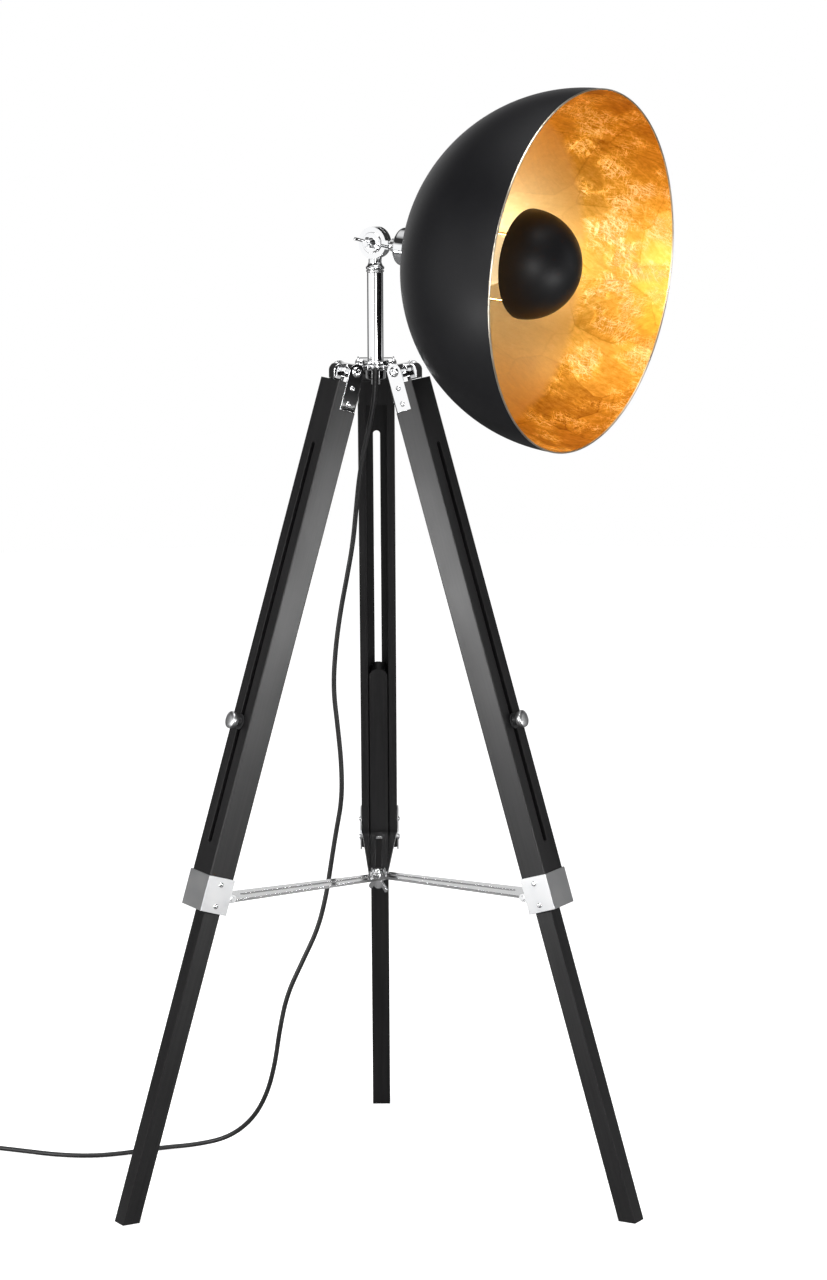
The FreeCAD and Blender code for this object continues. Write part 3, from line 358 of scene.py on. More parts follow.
def finished(name, build, material, sharp=35, place=None):
    """Close a mesh build: outward faces, soft shading with sharp corners, one material."""
    bmesh.ops.recalc_face_normals(build, faces=build.faces)
    mesh = bpy.data.meshes.new(name)
    build.to_mesh(mesh)
    build.free()
    if place:
        mesh.transform(place)
    shade_smooth(mesh, sharp)
    mesh.materials.append(material)
    return link(bpy.data.objects.new(name, mesh))


def tube_along(name, points, radii, material):
    """Closed round tube through points, with a radius at each."""
    sides = 20
    build = bmesh.new()
    rings = []
    across = Vector((0, 0, 1)).cross(points[1] - points[0])
    if across.length < 1e-4:
        across = Vector((1, 0, 0))
    for index, point in enumerate(points):
        ahead = points[min(index + 1, len(points) - 1)] - points[max(index - 1, 0)]
        ahead.normalize()
        across = (across - ahead * across.dot(ahead)).normalized()
        other = ahead.cross(across)
        ring = []
        for side in range(sides):
            angle = math.tau * side / sides
            offset = across * math.cos(angle) + other * math.sin(angle)
            ring.append(build.verts.new(point + offset * radii[index]))
        rings.append(ring)
    stitch(build, rings)
    build.faces.new(list(reversed(rings[0])))
    build.faces.new(rings[-1])
    return finished(name, build, material)


bare_lead = spline_curve("bare_lead", route, 0)
lead_line = [vertex.co.copy() for vertex in
             bpy.data.meshes.new_from_object(bare_lead).vertices]
bpy.data.objects.remove(bare_lead)
lead = spline_curve("mains_lead", route, LEAD_THICK)
lead.data.materials.append(black_pvc)
GRIP_EVERY, GRIP_NARROWS = 4, 0.93


def sleeve(name, start, long, thick, thin):
    """Tapered strain relief with grip rings, from a place on the lead, forwards or backwards."""
    index = min(range(len(lead_line)), key=lambda at: (lead_line[at] - start).length)
    way = 1 if long > 0 else -1
    points, walked = [lead_line[index]], 0
    while walked < abs(long):
        index += way
        walked += (lead_line[index] - points[-1]).length
        points.append(lead_line[index])
    dense = []
    for near, far in zip(points, points[1:]):
        dense += [near.lerp(far, part / GRIP_EVERY) for part in range(GRIP_EVERY)]
    dense.append(points[-1])
    total = len(dense) - 1
    radii = []
    for at in range(total + 1):
        ring = GRIP_NARROWS if at % GRIP_EVERY == GRIP_EVERY - 1 else 1
        radii.append((thick + (thin - thick) * at / total) / 2 * ring)
    made = tube_along(name, dense, radii, black_pvc)
    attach(made, "crown")
    return made


crown_sleeve = sleeve("lead_sleeve_crown", near_column(ROUTE_TO_SWITCH[0]), long=0.020,
                      thick=0.0072, thin=0.0060)
switch_sleeves = [
    sleeve("lead_sleeve_switch_in", near_column(SWITCH_IN), long=-0.022, thick=0.0088,
           thin=0.0062),
    sleeve("lead_sleeve_switch_out", near_column(SWITCH_OUT), long=0.022, thick=0.0088,
           thin=0.0062)]

TIE_SIDES, TIE_AT, TIE_UP, TIE_REACH = 28, math.radians(60), 0.0056, 0.031
TIE_HALF_ACROSS, TIE_HALF_TALL, TIE_HALF_WIDTH, TIE_SWELL = 0.0058, 0.0052, 0.0015, 0.1
tie_out = Vector((math.cos(TIE_AT), math.sin(TIE_AT), 0))
tie_along = Vector((-tie_out.y, tie_out.x, 0))
tie_centre = near_column(COIL_CENTRE + tie_out * TIE_REACH + Vector((0, 0, TIE_UP)))
tie_section = ((0, -TIE_HALF_WIDTH), (TIE_SWELL, -TIE_HALF_WIDTH), (TIE_SWELL, TIE_HALF_WIDTH),
               (0, TIE_HALF_WIDTH))
tie_build = bmesh.new()
tie_rings = []
for step in range(TIE_SIDES):
    angle = math.tau * step / TIE_SIDES
    spread = (tie_out * math.cos(angle) * TIE_HALF_ACROSS
              + Vector((0, 0, math.sin(angle) * TIE_HALF_TALL)))
    tie_rings.append([tie_build.verts.new(tie_centre + spread * (1 + swell) + tie_along * side)
                      for swell, side in tie_section])
stitch(tie_build, tie_rings + tie_rings[:1])
tie = finished("lead_tie", tie_build, black_pvc)
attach(tie, "crown")

for piece_name in ("switch_housing", "switch_button", "plug_body"):
    dress(piece_name, black_plastic)
dress("cord_bush", black_pvc)
plug_metal = mottled("plug pin metal", (0.62, 0.55, 0.40, 1), (0.76, 0.69, 0.52, 1), scale=90,
                     fine_scale=1800, rough=(0.18, 0.30), bump=0.1, depth=0.0001, Metallic=1.0)
dress("plug_pins", plug_metal)
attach(lead, "crown")
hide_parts("cord_tube", "cord_coil")

# ---------------------------------------------------------------- timber legs
# Straight-grained timber under satin black lacquer: a slotted outer board with two rails
# makes the upper leg, and a square bar slides between the rails. Edges are sanded round.
SIDES = ("left", "right", "rear")
PIVOT_UP, PIVOT_OUT = 0.991, 0.0014
UPPER_EASE, LOWER_EASE = 0.0005, 0.0009


def leg_frame(side):
    """Local X outwards across the leg, Y along the crown's edge, Z up along the leg."""
    up = -Vector(joints["leg_extend_" + side]["axis"])
    edge = Vector(joints["leg_fold_" + side]["axis"])
    out = edge.cross(up)
    place = Matrix((out, edge, up)).transposed().to_4x4()
    pivot = Vector(joints["leg_fold_" + side]["pos_m"])
    place.translation = pivot - up * PIVOT_UP - out * PIVOT_OUT
    return place


def worked_out(made):
    """The plain mesh that an object's modifiers make; the object itself goes."""
    graph = bpy.context.evaluated_depsgraph_get()
    mesh = bpy.data.meshes.new_from_object(made.evaluated_get(graph), depsgraph=graph)
    bpy.data.objects.remove(made)
    return mesh


def baked(made, name, body):
    """Turn an object with modifiers into a plain mesh piece that rides on a body."""
    mesh = worked_out(made)
    mesh.name = name
    piece = link(bpy.data.objects.new(name, mesh))
    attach(piece, body)
    return piece


def body_of(node_name):
    return nodes[node_name]["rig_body"]


def merged_copy(node_name, material):
    """Loose copy of a piece with its triangles joined into clean faces."""
    build = bmesh.new()
    build.from_mesh(nodes[node_name].data)
    bmesh.ops.remove_doubles(build, verts=build.verts, dist=2e-6)
    bmesh.ops.dissolve_limit(build, angle_limit=math.radians(0.3), verts=build.verts,
                             edges=build.edges)
    mesh = bpy.data.meshes.new(node_name + "_copy")
    build.to_mesh(mesh)
    build.free()
    shade_smooth(mesh, 30)
    mesh.materials.append(material)
    return link(bpy.data.objects.new(node_name + "_copy", mesh))


def eased(node_name, width, material, segments=2):
    """The piece with its sharp edges eased by a small round."""
    copy = merged_copy(node_name, material)
    bevel = copy.modifiers.new("round", "BEVEL")
    bevel.width = width
    bevel.segments = segments
    bevel.limit_method = "ANGLE"
    bevel.angle_limit = math.radians(40)
    bevel.harden_normals = True
    piece = baked(copy, node_name + "_eased", body_of(node_name))
    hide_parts(node_name)
    return piece


def lacquer():
    """Satin black lacquer with the timber's pores just showing along the leg."""
    material, tree, shader = new_material("satin black lacquer", Coat_Weight=0.3,
                                          Coat_Roughness=0.26, Specular_IOR_Level=0.3)
    along = add_node(tree, "ShaderNodeAttribute", attribute_name="leg_space").outputs["Vector"]
    stretched = add_node(tree, "ShaderNodeVectorMath", along, (420, 420, 9),
                         operation="MULTIPLY").outputs[0]
    pores = add_node(tree, "ShaderNodeTexNoise", Vector=stretched, Scale=1.0, Detail=5.0,
                     Roughness=0.6, Distortion=0.4).outputs[0]
    slow = add_node(tree, "ShaderNodeTexNoise", Vector=along, Scale=9.0, Detail=3.0).outputs[0]
    colour = mix_colours(tree, map_range(tree, pores, 0.35, 0.7, 0.0, 1.0),
                         (0.0045, 0.0043, 0.0048, 1), (0.0100, 0.0094, 0.0098, 1))
    tree.links.new(colour, shader.inputs["Base Color"])
    rough = calculate(tree, "ADD", map_range(tree, slow, 0.3, 0.7, 0.34, 0.44),
                      map_range(tree, pores, 0.3, 0.7, -0.03, 0.03))
    tree.links.new(rough, shader.inputs["Roughness"])
    relief = add_node(tree, "ShaderNodeBump", Strength=0.12, Distance=0.0003, Height=pores)
    tree.links.new(relief.outputs[0], shader.inputs["Normal"])
    return material


black_lacquer = lacquer()
leg_frames = {side: leg_frame(side) for side in SIDES}
for side in SIDES:
    into_leg = leg_frames[side].inverted()
    for node_name, width in (("upper_leg_" + side, UPPER_EASE), ("lower_leg_" + side, LOWER_EASE)):
        timber = eased(node_name, width, black_lacquer, 3)
        grain = timber.data.attributes.new("leg_space", "FLOAT_VECTOR", "POINT")
        for place, vertex in zip(grain.data, timber.data.vertices):
            place.vector = into_leg @ vertex.co

# ---------------------------------------------------------------- leg fittings
# Chromed steel straps with round tops, a pivot bolt through each crown arm, cross-slotted
# screws, a folded satin steel collar with its hinge pin, and a turned knob on its stud.


def chrome_finish(name, bright, rough):
    """A bare metal finish, a touch bluer where it is smoothest."""
    return mottled(name, (bright * 0.94, bright * 0.95, bright * 0.97, 1), grey(bright), scale=22,
                   fine_scale=1400, rough=rough, bump=0.03, depth=0.0001, Metallic=1.0)


chrome = chrome_finish("polished chrome", 0.86, (0.03, 0.07))
brushed_chrome = chrome_finish("brushed chrome", 0.90, (0.13, 0.17))
satin_steel = chrome_finish("satin steel", 0.74, (0.31, 0.37))


def lathe(outline, steps):
    """Mesh build turned about X from an outline of (along, radius) between two tips."""
    build = bmesh.new()
    rings = []
    for along, radius in outline:
        count = steps if radius > 1e-6 else 1
        rings.append([build.verts.new((along, radius * math.cos(math.tau * step / steps),
                                       radius * math.sin(math.tau * step / steps)))
                      for step in range(count)])
    stitch(build, rings)
    return build


def rounded(corners, radius):
    """Outline with each corner between its ends replaced by a short curve."""
    steps = 3
    outline = [corners[0]]
    for before, corner, after in zip(corners, corners[1:], corners[2:]):
        middle = Vector(corner)
        arms = [Vector(end) - middle for end in (before, after)]
        cut = min(radius, arms[0].length * 0.45, arms[1].length * 0.45)
        start, end = (middle + arm.normalized() * cut for arm in arms)
        for step in range(steps + 1):
            part = step / steps
            point = (start * (1 - part) ** 2 + middle * 2 * part * (1 - part) + end * part ** 2)
            outline.append(tuple(point))
    return outline + [corners[-1]]


def cross_head(name, radius, height, shank, long):
    """Chromed screw with a domed head and a cross cut in it; the head points along +X."""
    dome = [(height * math.sin(turn), radius * math.cos(turn) ** 0.7)
            for turn in (0, 0.35, 0.7, 1.0, 1.25, 1.45)]
    outline = [(-long, 0), (-long, shank), (0, shank), *dome, (height, 0)]
    screw = finished(name, lathe(outline, 32), chrome, sharp=30)
    cut = bmesh.new()
    for wide, tall in ((1.15, 0.2), (0.2, 1.15)):
        block = bmesh.ops.create_cube(cut, size=1)["verts"]
        bmesh.ops.scale(cut, vec=(height * 1.2, radius * wide, radius * tall), verts=block)
        bmesh.ops.translate(cut, vec=(height * 1.05, 0, 0), verts=block)
    cutter = finished(name + "_cutter", cut, chrome)
    slotting = screw.modifiers.new("cross", "BOOLEAN")
    slotting.operation = "DIFFERENCE"
    slotting.solver = "EXACT"
    slotting.use_self = True
    slotting.object = cutter
    mesh = worked_out(screw)
    bpy.data.objects.remove(cutter)
    return mesh


def end_tree(tree, geometry, finish, result):
    """End a geometry tree: copies made real, with one material on them."""
    real = add_node(tree, "GeometryNodeRealizeInstances", geometry)
    coloured = add_node(tree, "GeometryNodeSetMaterial", real.outputs[0], Material=finish)
    tree.links.new(coloured.outputs[0], result[0])


def screw_tree():
    """Node tree: one screw at every point, its axis along the point's outward direction."""
    tree, given, result = node_group(
        "screws on points", "GeometryNodeTree",
        (("Geometry", "Geometry"), ("Object", "Screw"), ("Float", "Turn"),
         ("Material", "Finish")), (("Geometry", "Geometry"),))
    outward = add_node(tree, "GeometryNodeInputNamedAttribute", data_type="FLOAT_VECTOR",
                       Name="outward").outputs[0]
    facing = add_node(tree, "FunctionNodeAlignRotationToVector", axis="X", Vector=outward)
    number = tree.nodes.new("GeometryNodeInputIndex").outputs[0]
    spin = add_node(tree, "FunctionNodeAxisAngleToRotation", (1, 0, 0),
                    calculate(tree, "MULTIPLY", number, given["Turn"]))
    turned_on = add_node(tree, "FunctionNodeRotateRotation", facing.outputs[0], spin.outputs[0],
                         rotation_space="LOCAL")
    pattern = add_node(tree, "GeometryNodeObjectInfo", Object=given["Screw"])
    placed = add_node(tree, "GeometryNodeInstanceOnPoints", Points=given["Geometry"],
                      Instance=pattern.outputs["Geometry"], Rotation=turned_on.outputs[0])
    end_tree(tree, placed.outputs[0], given["Finish"], result)
    return tree


def set_tree(made, tree, **values):
    """Add a node tree to an object and set its named inputs."""
    modifier = made.modifiers.new(tree.name, "NODES")
    modifier.node_group = tree
    names = {item.name: item.identifier for item in tree.interface.items_tree
             if item.item_type == "SOCKET" and item.in_out == "INPUT"}
    for name, value in values.items():
        modifier[names[name]] = value


screws_on_points = screw_tree()
small_screw = link(bpy.data.objects.new("small_screw", cross_head(
    "small_screw", radius=0.003, height=0.0014, shank=0.0016, long=0.009)))
STRAP_FACE, COLLAR_FACE = 0.021, 0.0227
STRAP_SCREWS_UP, COLLAR_SCREWS_UP = (0.954, 0.972), (0.372, 0.397)
COLLAR_SCREWS_OUT, SCREW_TURN = 0.005, 0.9
screw_rows = [(PIVOT_OUT, up, STRAP_FACE) for up in STRAP_SCREWS_UP]
screw_rows += [(COLLAR_SCREWS_OUT, up, COLLAR_FACE) for up in COLLAR_SCREWS_UP]
for side in SIDES:
    spots = [(Vector((out, way * face, up)), Vector((0, way, 0)))
             for out, up, face in screw_rows for way in (1, -1)]
    points = bpy.data.meshes.new("screw_points")
    points.from_pydata([leg_frames[side] @ spot for spot, _ in spots], [], [])
    outward = points.attributes.new("outward", "FLOAT_VECTOR", "POINT")
    for held, (_, way) in zip(outward.data, spots):
        held.vector = leg_frames[side].to_3x3() @ way
    holder = link(bpy.data.objects.new("screw_points", points))
    set_tree(holder, screws_on_points, Screw=small_screw, Turn=SCREW_TURN, Finish=chrome)
    screws = baked(holder, "cross_screws_" + side, "leg_" + side)
    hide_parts("leg_screws_" + side)
bpy.data.objects.remove(small_screw)

for side in SIDES:
    eased("leg_straps_" + side, 0.0007, chrome)
    eased("leg_collar_" + side, 0.0005, satin_steel)
    dress("hinge_pin_" + side, satin_steel)
    dress("clamp_stud_" + side, satin_steel)
    for way, part in ((1, "head"), (-1, "nut")):
        mesh = cross_head("pivot_" + part, radius=0.0059, height=0.0028, shank=0.003,
                          long=STRAP_FACE)
        face = Matrix.Translation((PIVOT_OUT, way * STRAP_FACE, PIVOT_UP))
        mesh.transform(leg_frames[side] @ face @ Matrix.Rotation(way * math.pi / 2, 4, "Z"))
        head = link(bpy.data.objects.new("pivot_%s_%s" % (part, side), mesh))
        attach(head, "leg_" + side)
        if part == "head":
            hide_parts("pivot_bolt_" + side)

CLAMP_UP, SPACER_FOOT, SPACER_TOP, KNOB_TOP = 0.579, 0.0213, 0.0262, 0.0372
KNOB_STEPS, KNOB_SHARP = 72, 28
spacer_outline = rounded([
    (SPACER_FOOT, 0), (SPACER_FOOT, 0.0088), (0.0228, 0.0088), (0.0230, 0.0056),
    (SPACER_TOP, 0.0053), (SPACER_TOP, 0)], 0.0004)
knob_outline = rounded([
    (SPACER_TOP, 0), (SPACER_TOP, 0.0050), (0.0290, 0.0086), (0.0330, 0.0099),
    (0.0355, 0.0096), (0.0368, 0.0060), (KNOB_TOP, 0)], 0.0008)
for side in SIDES:
    stud = leg_frames[side] @ Matrix.Translation((0, 0, CLAMP_UP))
    spacer = finished("knob_spacer_" + side, lathe(spacer_outline, KNOB_STEPS), black_plastic,
                      KNOB_SHARP, stud)
    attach(spacer, "knob_" + side)
    knob = finished("knob_" + side, lathe(knob_outline, KNOB_STEPS), satin_steel, KNOB_SHARP,
                    stud)
    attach(knob, "knob_" + side)
    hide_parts("clamp_knob_" + side)

# ---------------------------------------------------------------- spreader
# Three pressed chrome arms with long slots, stacked on one bolt between two washers and
# pulled tight from below by a wing nut.


def cast(node_name, grain, passes):
    """The piece as a smooth chromed casting, with every corner run soft."""
    copy = merged_copy(node_name, chrome)
    skin = copy.modifiers.new("skin", "REMESH")
    skin.mode = "VOXEL"
    skin.voxel_size = grain
    skin.use_smooth_shade = True
    soft = copy.modifiers.new("soft", "SMOOTH")
    soft.iterations = passes
    piece = baked(copy, node_name + "_cast", body_of(node_name))
    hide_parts(node_name)


WING_NUT_GRAIN = 0.00035
for side in SIDES:
    eased("spreader_arm_" + side, 0.0004, brushed_chrome)
dress("spreader_bolt", chrome)
dress("spreader_washers", chrome)
cast("spreader_wing_nut", WING_NUT_GRAIN, passes=4)

# ---------------------------------------------------------------- crown and column
# Chromed casting with three down-turned arms, a flange ring on it, a polished tube held
# by the threaded rod inside, and a beaded ferrule at the top.
cast("crown_casting", 0.0006, passes=5)
for node_name in ("crown_flange", "column_ferrule"):
    dress(node_name, chrome)
eased("column_tube", 0.0003, chrome)
dress("column_rod", satin_steel)

# ---------------------------------------------------------------- neck and knuckle
# Turned neck that swivels on the rod, two round plates clamped by a bolt with a broad
# washer and a wing nut, and the short stub that carries the shade.
eased("neck_fitting", 0.0009, chrome, 3)
eased("knuckle_arm", 0.0011, chrome, 3)
dress("tilt_bolt", chrome)
eased("tilt_washer", 0.0005, chrome)
cast("tilt_wing_nut", WING_NUT_GRAIN, passes=4)

# ---------------------------------------------------------------- shade
# Spun steel bowl, powder-coated black outside and lined with gold leaf laid in square
# sheets, a thin pale edge, and a small black dome on three rods that hides the lamp.
HEAD_DROOP = math.radians(4.1)
tilt_axis = Vector(joints["head_tilt"]["axis"])
head_heading = math.atan2(tilt_axis.x, -tilt_axis.y)
head_frame = (Matrix.Translation(Vector(joints["head_tilt"]["pos_m"]))
              @ Matrix.Rotation(head_heading, 4, "Z") @ Matrix.Rotation(HEAD_DROOP, 4, "Y"))
RIM_REACH, SHADE_ROUND, SHADE_WALL, SHADE_HOLE = 0.2697, 0.2, 0.0008, 0.0203
LINING_GAP, LINING_WALL = 0.0001, 0.0003
DOME_ROUND, DOME_WALL, DOME_BACK = 0.0612, 0.001, 0.0716
# faces round the bowl and from its hole to its mouth
SHADE_FACES, DOME_FACES = (224, 72), (128, 40)


def bowl_tree():
    """Node tree: a thin part-sphere with a wall, open at its mouth, its pole towards -X."""
    tree, given, result = node_group(
        "spun bowl", "GeometryNodeTree",
        (("Geometry", "Geometry"), ("Float", "Radius"), ("Float", "Wall"), ("Float", "Hole"),
         ("Float", "Mouth"), ("Int", "Around"), ("Int", "Along"), ("Material", "Finish")),
        (("Geometry", "Geometry"),))
    grid = add_node(tree, "GeometryNodeMeshGrid", 1.0, 1.0, given["Around"], given["Along"])
    here = add_node(tree, "ShaderNodeSeparateXYZ",
                    tree.nodes.new("GeometryNodeInputPosition").outputs[0]).outputs
    angle = calculate(tree, "MULTIPLY", calculate(tree, "ADD", here[0], 0.5), math.tau)
    polar = map_range(tree, here[1], -0.5, 0.5, given["Hole"], given["Mouth"])
    ring = calculate(tree, "MULTIPLY", calculate(tree, "SINE", polar), given["Radius"])
    back = calculate(tree, "MULTIPLY", calculate(tree, "COSINE", polar), given["Radius"])
    turn_y, turn_z = (calculate(tree, kind, angle) for kind in ("COSINE", "SINE"))
    spot = add_node(tree, "ShaderNodeCombineXYZ", calculate(tree, "MULTIPLY", back, -1.0),
                    calculate(tree, "MULTIPLY", ring, turn_y),
                    calculate(tree, "MULTIPLY", ring, turn_z)).outputs[0]
    arc = calculate(tree, "MULTIPLY", polar, given["Radius"])
    flat = add_node(tree, "ShaderNodeCombineXYZ", calculate(tree, "MULTIPLY", arc, turn_y),
                    calculate(tree, "MULTIPLY", arc, turn_z), 0.0).outputs[0]
    mapped = add_node(tree, "GeometryNodeStoreNamedAttribute", data_type="FLOAT_VECTOR",
                      Geometry=grid.outputs[0], Name="leaf_map", Value=flat)
    placed = add_node(tree, "GeometryNodeSetPosition", Geometry=mapped.outputs[0], Position=spot)
    skin = add_node(tree, "GeometryNodeMergeByDistance", placed.outputs[0], Distance=1e-5)
    wall = add_node(tree, "GeometryNodeExtrudeMesh", Mesh=skin.outputs[0], Individual=False,
                    Offset_Scale=calculate(tree, "MULTIPLY", given["Wall"], -1.0))
    inside = add_node(tree, "GeometryNodeFlipFaces", wall.outputs[0])
    both = tree.nodes.new("GeometryNodeJoinGeometry")
    tree.links.new(skin.outputs[0], both.inputs[0])
    tree.links.new(inside.outputs[0], both.inputs[0])
    closed = add_node(tree, "GeometryNodeMergeByDistance", both.outputs[0], Distance=1e-5)
    end_tree(tree, closed.outputs[0], given["Finish"], result)
    return tree


spun_bowl = bowl_tree()


def bowl(name, radius, wall, hole, place, material, faces):
    """A spun bowl set in the head."""
    around, along = faces
    seed = link(bpy.data.objects.new(name + "_seed", bpy.data.meshes.new(name + "_seed")))
    set_tree(seed, spun_bowl, Radius=radius, Wall=wall, Hole=math.asin(hole / radius),
             Mouth=math.pi / 2, Around=around + 1, Along=along + 1, Finish=material)
    piece = baked(seed, name, "head")
    piece.data.transform(head_frame @ place)
    shade_smooth(piece.data, 40)
    return piece


def gold_leaf():
    """Leaf in rough squares, each with its own tone and creases; smooth in the middle, under a
    painted glow.
    """
    material, tree, shader = new_material("gold leaf", Metallic=1.0)
    # the bowl laid flat, with the sheets' torn and overlapping edges
    flat = add_node(tree, "ShaderNodeAttribute", attribute_name="leaf_map").outputs["Vector"]
    wobble = add_node(tree, "ShaderNodeTexNoise", Vector=flat, Scale=14.0, Detail=4.0)
    shift = add_node(tree, "ShaderNodeVectorMath", wobble.outputs["Color"], (0.016, 0.016, 0.0),
                     operation="MULTIPLY").outputs[0]
    torn = add_node(tree, "ShaderNodeVectorMath", flat, shift, operation="ADD").outputs[0]
    sheets = [add_node(tree, "ShaderNodeTexVoronoi", voronoi_dimensions="2D", feature=feature,
                       distance="CHEBYCHEV", Vector=torn, Scale=9.5, Randomness=0.5)
              for feature in ("F1", "F2")]
    own = add_node(tree, "ShaderNodeSeparateColor", sheets[0].outputs["Color"]).outputs
    seam = calculate(tree, "SUBTRACT", sheets[1].outputs["Distance"],
                     sheets[0].outputs["Distance"])
    overlap = map_range(tree, seam, 0.0, 0.03, 1.0, 0.0)
    reach = add_node(tree, "ShaderNodeVectorMath", torn, operation="LENGTH").outputs["Value"]
    # the painted glow covers the middle of the bowl; outside it the sheets show in full
    beyond_glow = map_range(tree, reach, 0.212, 0.222, 0.0, 1.0)
    # creases and scratches, which run another way on each sheet
    turned_sheet = add_node(tree, "ShaderNodeVectorRotate", rotation_type="Z_AXIS", Vector=torn,
                            Angle=calculate(tree, "MULTIPLY", own[0], math.tau)).outputs[0]
    lines = []
    for turn, scale in ((0.0, 96.0), (0.9, 152.0), (-0.7, 208.0)):
        spun = add_node(tree, "ShaderNodeVectorRotate", rotation_type="Z_AXIS",
                        Vector=turned_sheet, Angle=turn).outputs[0]
        drawn = add_node(tree, "ShaderNodeVectorMath", spun, (0.16, 1.0, 1.0),
                         operation="MULTIPLY").outputs[0]
        noise = add_node(tree, "ShaderNodeTexNoise", Vector=drawn, Scale=scale, Detail=4.0,
                         Roughness=0.6, Distortion=0.9).outputs[0]
        thin = calculate(tree, "ABSOLUTE", calculate(tree, "SUBTRACT", noise, 0.5))
        lines.append(map_range(tree, thin, 0.0, 0.022, 1.0, 0.0))
    scratch = calculate(tree, "MAXIMUM", lines[0], calculate(tree, "MAXIMUM", *lines[1:]))
    patchy = add_node(tree, "ShaderNodeTexNoise", Vector=flat, Scale=22.0, Detail=3.0).outputs[0]
    scratch = calculate(tree, "MULTIPLY", scratch, map_range(tree, patchy, 0.42, 0.6, 0.0, 1.0))
    scratch = calculate(tree, "MULTIPLY", scratch, map_range(tree, beyond_glow, 0.0, 1.0, 0.15, 1.0))
    # tone: each sheet's own and darker where sheets overlap; the darkening towards the top and
    # bottom is painted shade
    mottling = add_node(tree, "ShaderNodeTexNoise", Vector=flat, Scale=120.0, Detail=8.0,
                        Roughness=0.75, Distortion=0.3).outputs[0]
    brushed = add_node(tree, "ShaderNodeVectorMath", turned_sheet, (0.22, 1.0, 1.0),
                       operation="MULTIPLY").outputs[0]
    streaks = add_node(tree, "ShaderNodeTexNoise", Vector=brushed, Scale=190.0, Detail=8.0,
                       Roughness=0.7, Distortion=0.5).outputs[0]
    tone = calculate(tree, "ADD", map_range(tree, mottling, 0.3, 0.7, 0.30, 0.50),
                     map_range(tree, own[1], 0.0, 1.0, -0.08, 0.10))
    tone = calculate(tree, "ADD", tone, map_range(tree, streaks, 0.3, 0.7, -0.11, 0.12))
    # painted shade: the leaf darkens towards the top and bottom of the bowl
    painted_shade_updown = calculate(tree, "ABSOLUTE", add_node(
        tree, "ShaderNodeSeparateXYZ", Vector=torn).outputs[1])
    tone = calculate(tree, "ADD", tone, map_range(tree, painted_shade_updown, 0.05, 0.26, 0.07, -0.22))
    tone = calculate(tree, "ADD", tone, calculate(tree, "MULTIPLY", scratch, 0.6))
    tone = calculate(tree, "SUBTRACT", tone, calculate(tree, "MULTIPLY", overlap, 0.12))
    gold = colour_ramp(tree, tone, (
        (0.0, (0.28, 0.09, 0.006, 1)), (0.33, (0.64, 0.32, 0.04, 1)),
        (0.56, (0.90, 0.52, 0.11, 1)), (0.88, (1.0, 0.82, 0.46, 1))))
    # painted glow: the middle of the bowl is painted pale and brighter towards its centre, like
    # leaf lit by the bulb, and it is smooth there
    middle = map_range(tree, reach, 0.09, 0.21, 1.0, 0.0)
    painted_glow = mix_colours(tree, middle, (0.72, 0.42, 0.14, 1), (1.0, 0.84, 0.52, 1))
    pale = mix_colours(tree, 0.7, gold, painted_glow)
    tree.links.new(mix_colours(tree, beyond_glow, pale, gold), shader.inputs["Base Color"])
    rough = calculate(tree, "ADD", map_range(tree, mottling, 0.3, 0.7, 0.52, 0.42),
                      calculate(tree, "MULTIPLY", scratch, -0.08))
    tree.links.new(rough, shader.inputs["Roughness"])
    height = calculate(tree, "ADD", scratch, calculate(tree, "MULTIPLY", streaks, 0.5))
    height = calculate(tree, "MULTIPLY", height, map_range(tree, beyond_glow, 0.0, 1.0, 0.25, 1.0))
    relief = add_node(tree, "ShaderNodeBump", Strength=0.5, Distance=0.0005, Height=height)
    tree.links.new(relief.outputs[0], shader.inputs["Normal"])
    return material


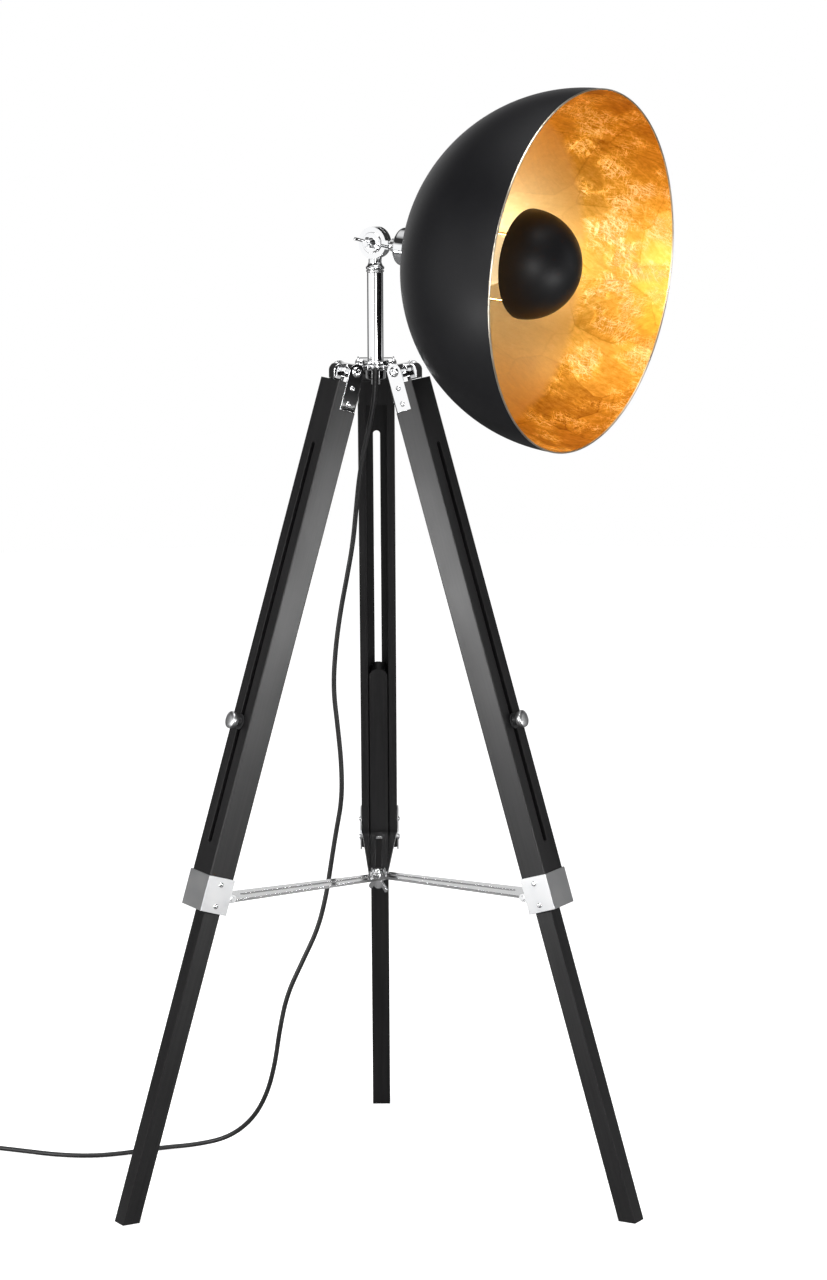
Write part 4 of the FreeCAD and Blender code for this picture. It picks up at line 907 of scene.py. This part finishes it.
powder_black = mottled("black powder coat", (0.0042, 0.0042, 0.0052, 1),
                       (0.0068, 0.0068, 0.0080, 1), scale=9, fine_scale=900, rough=(0.40, 0.48),
                       bump=0.22, depth=0.0002, Specular_IOR_Level=0.24)
pale_edge = mottled("pale edge", (0.60, 0.52, 0.40, 1), (0.74, 0.68, 0.56, 1), scale=40,
                    fine_scale=1200, rough=(0.26, 0.38), bump=0.08, depth=0.0002, Metallic=1.0)
gilt = mottled("gilt rod", (0.80, 0.60, 0.28, 1), (0.90, 0.74, 0.42, 1), scale=60,
               fine_scale=1500, rough=(0.16, 0.26), bump=0.05, depth=0.0001, Metallic=1.0)
mouth = Matrix.Translation((RIM_REACH, 0, 0))
shell = bowl("shade_bowl", SHADE_ROUND, SHADE_WALL, SHADE_HOLE, mouth, powder_black,
             SHADE_FACES)
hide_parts("shade_shell")
lining = bowl("leaf_lining", SHADE_ROUND - SHADE_WALL - LINING_GAP, LINING_WALL, SHADE_HOLE,
              mouth, gold_leaf(), SHADE_FACES)
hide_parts("shade_lining")
dome_place = Matrix.Translation((RIM_REACH - DOME_BACK, 0, 0)) @ Matrix.Rotation(math.pi, 4, "Z")
dome = bowl("small_dome", DOME_ROUND, DOME_WALL, 0.0, dome_place, powder_black, DOME_FACES)
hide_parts("glare_dome")
dress("shade_rim", pale_edge)
dress("dome_rods", gilt)
eased("shade_cap", 0.0006, chrome)

# ---------------------------------------------------------------- lamp
# Black moulded screw holder held through the shade by a ring, and a frosted bulb that is
# switched on and throws a warm light on the leaf.
for node_name in ("lamp_holder", "holder_ring"):
    dress(node_name, black_plastic)
bulb_cap = mottled("bulb cap", grey(0.60), (0.75, 0.75, 0.74, 1), scale=80, fine_scale=1600,
                   rough=(0.22, 0.34), bump=0.1, depth=0.0001, Metallic=1.0)
dress("bulb_base", bulb_cap)
frosted, frosted_tree, frosted_shader = new_material(
    "lit frosted glass", Roughness=0.5, Emission_Strength=22.0)
frost_place = add_node(frosted_tree, "ShaderNodeTexCoord").outputs["Object"]
frost = add_node(frosted_tree, "ShaderNodeTexNoise", Vector=frost_place, Scale=600.0)
glow = mix_colours(frosted_tree, frost.outputs[0], (1.0, 0.84, 0.56, 1), (1.0, 0.89, 0.66, 1))
looked_at = add_node(frosted_tree, "ShaderNodeLightPath").outputs["Is Camera Ray"]
soft_glow = mix_colours(frosted_tree, looked_at, glow, (0.030, 0.024, 0.014, 1))
frosted_tree.links.new(soft_glow, frosted_shader.inputs["Emission Color"])
frosted_tree.links.new(glow, frosted_shader.inputs["Base Color"])
dress("bulb_glass", frosted)
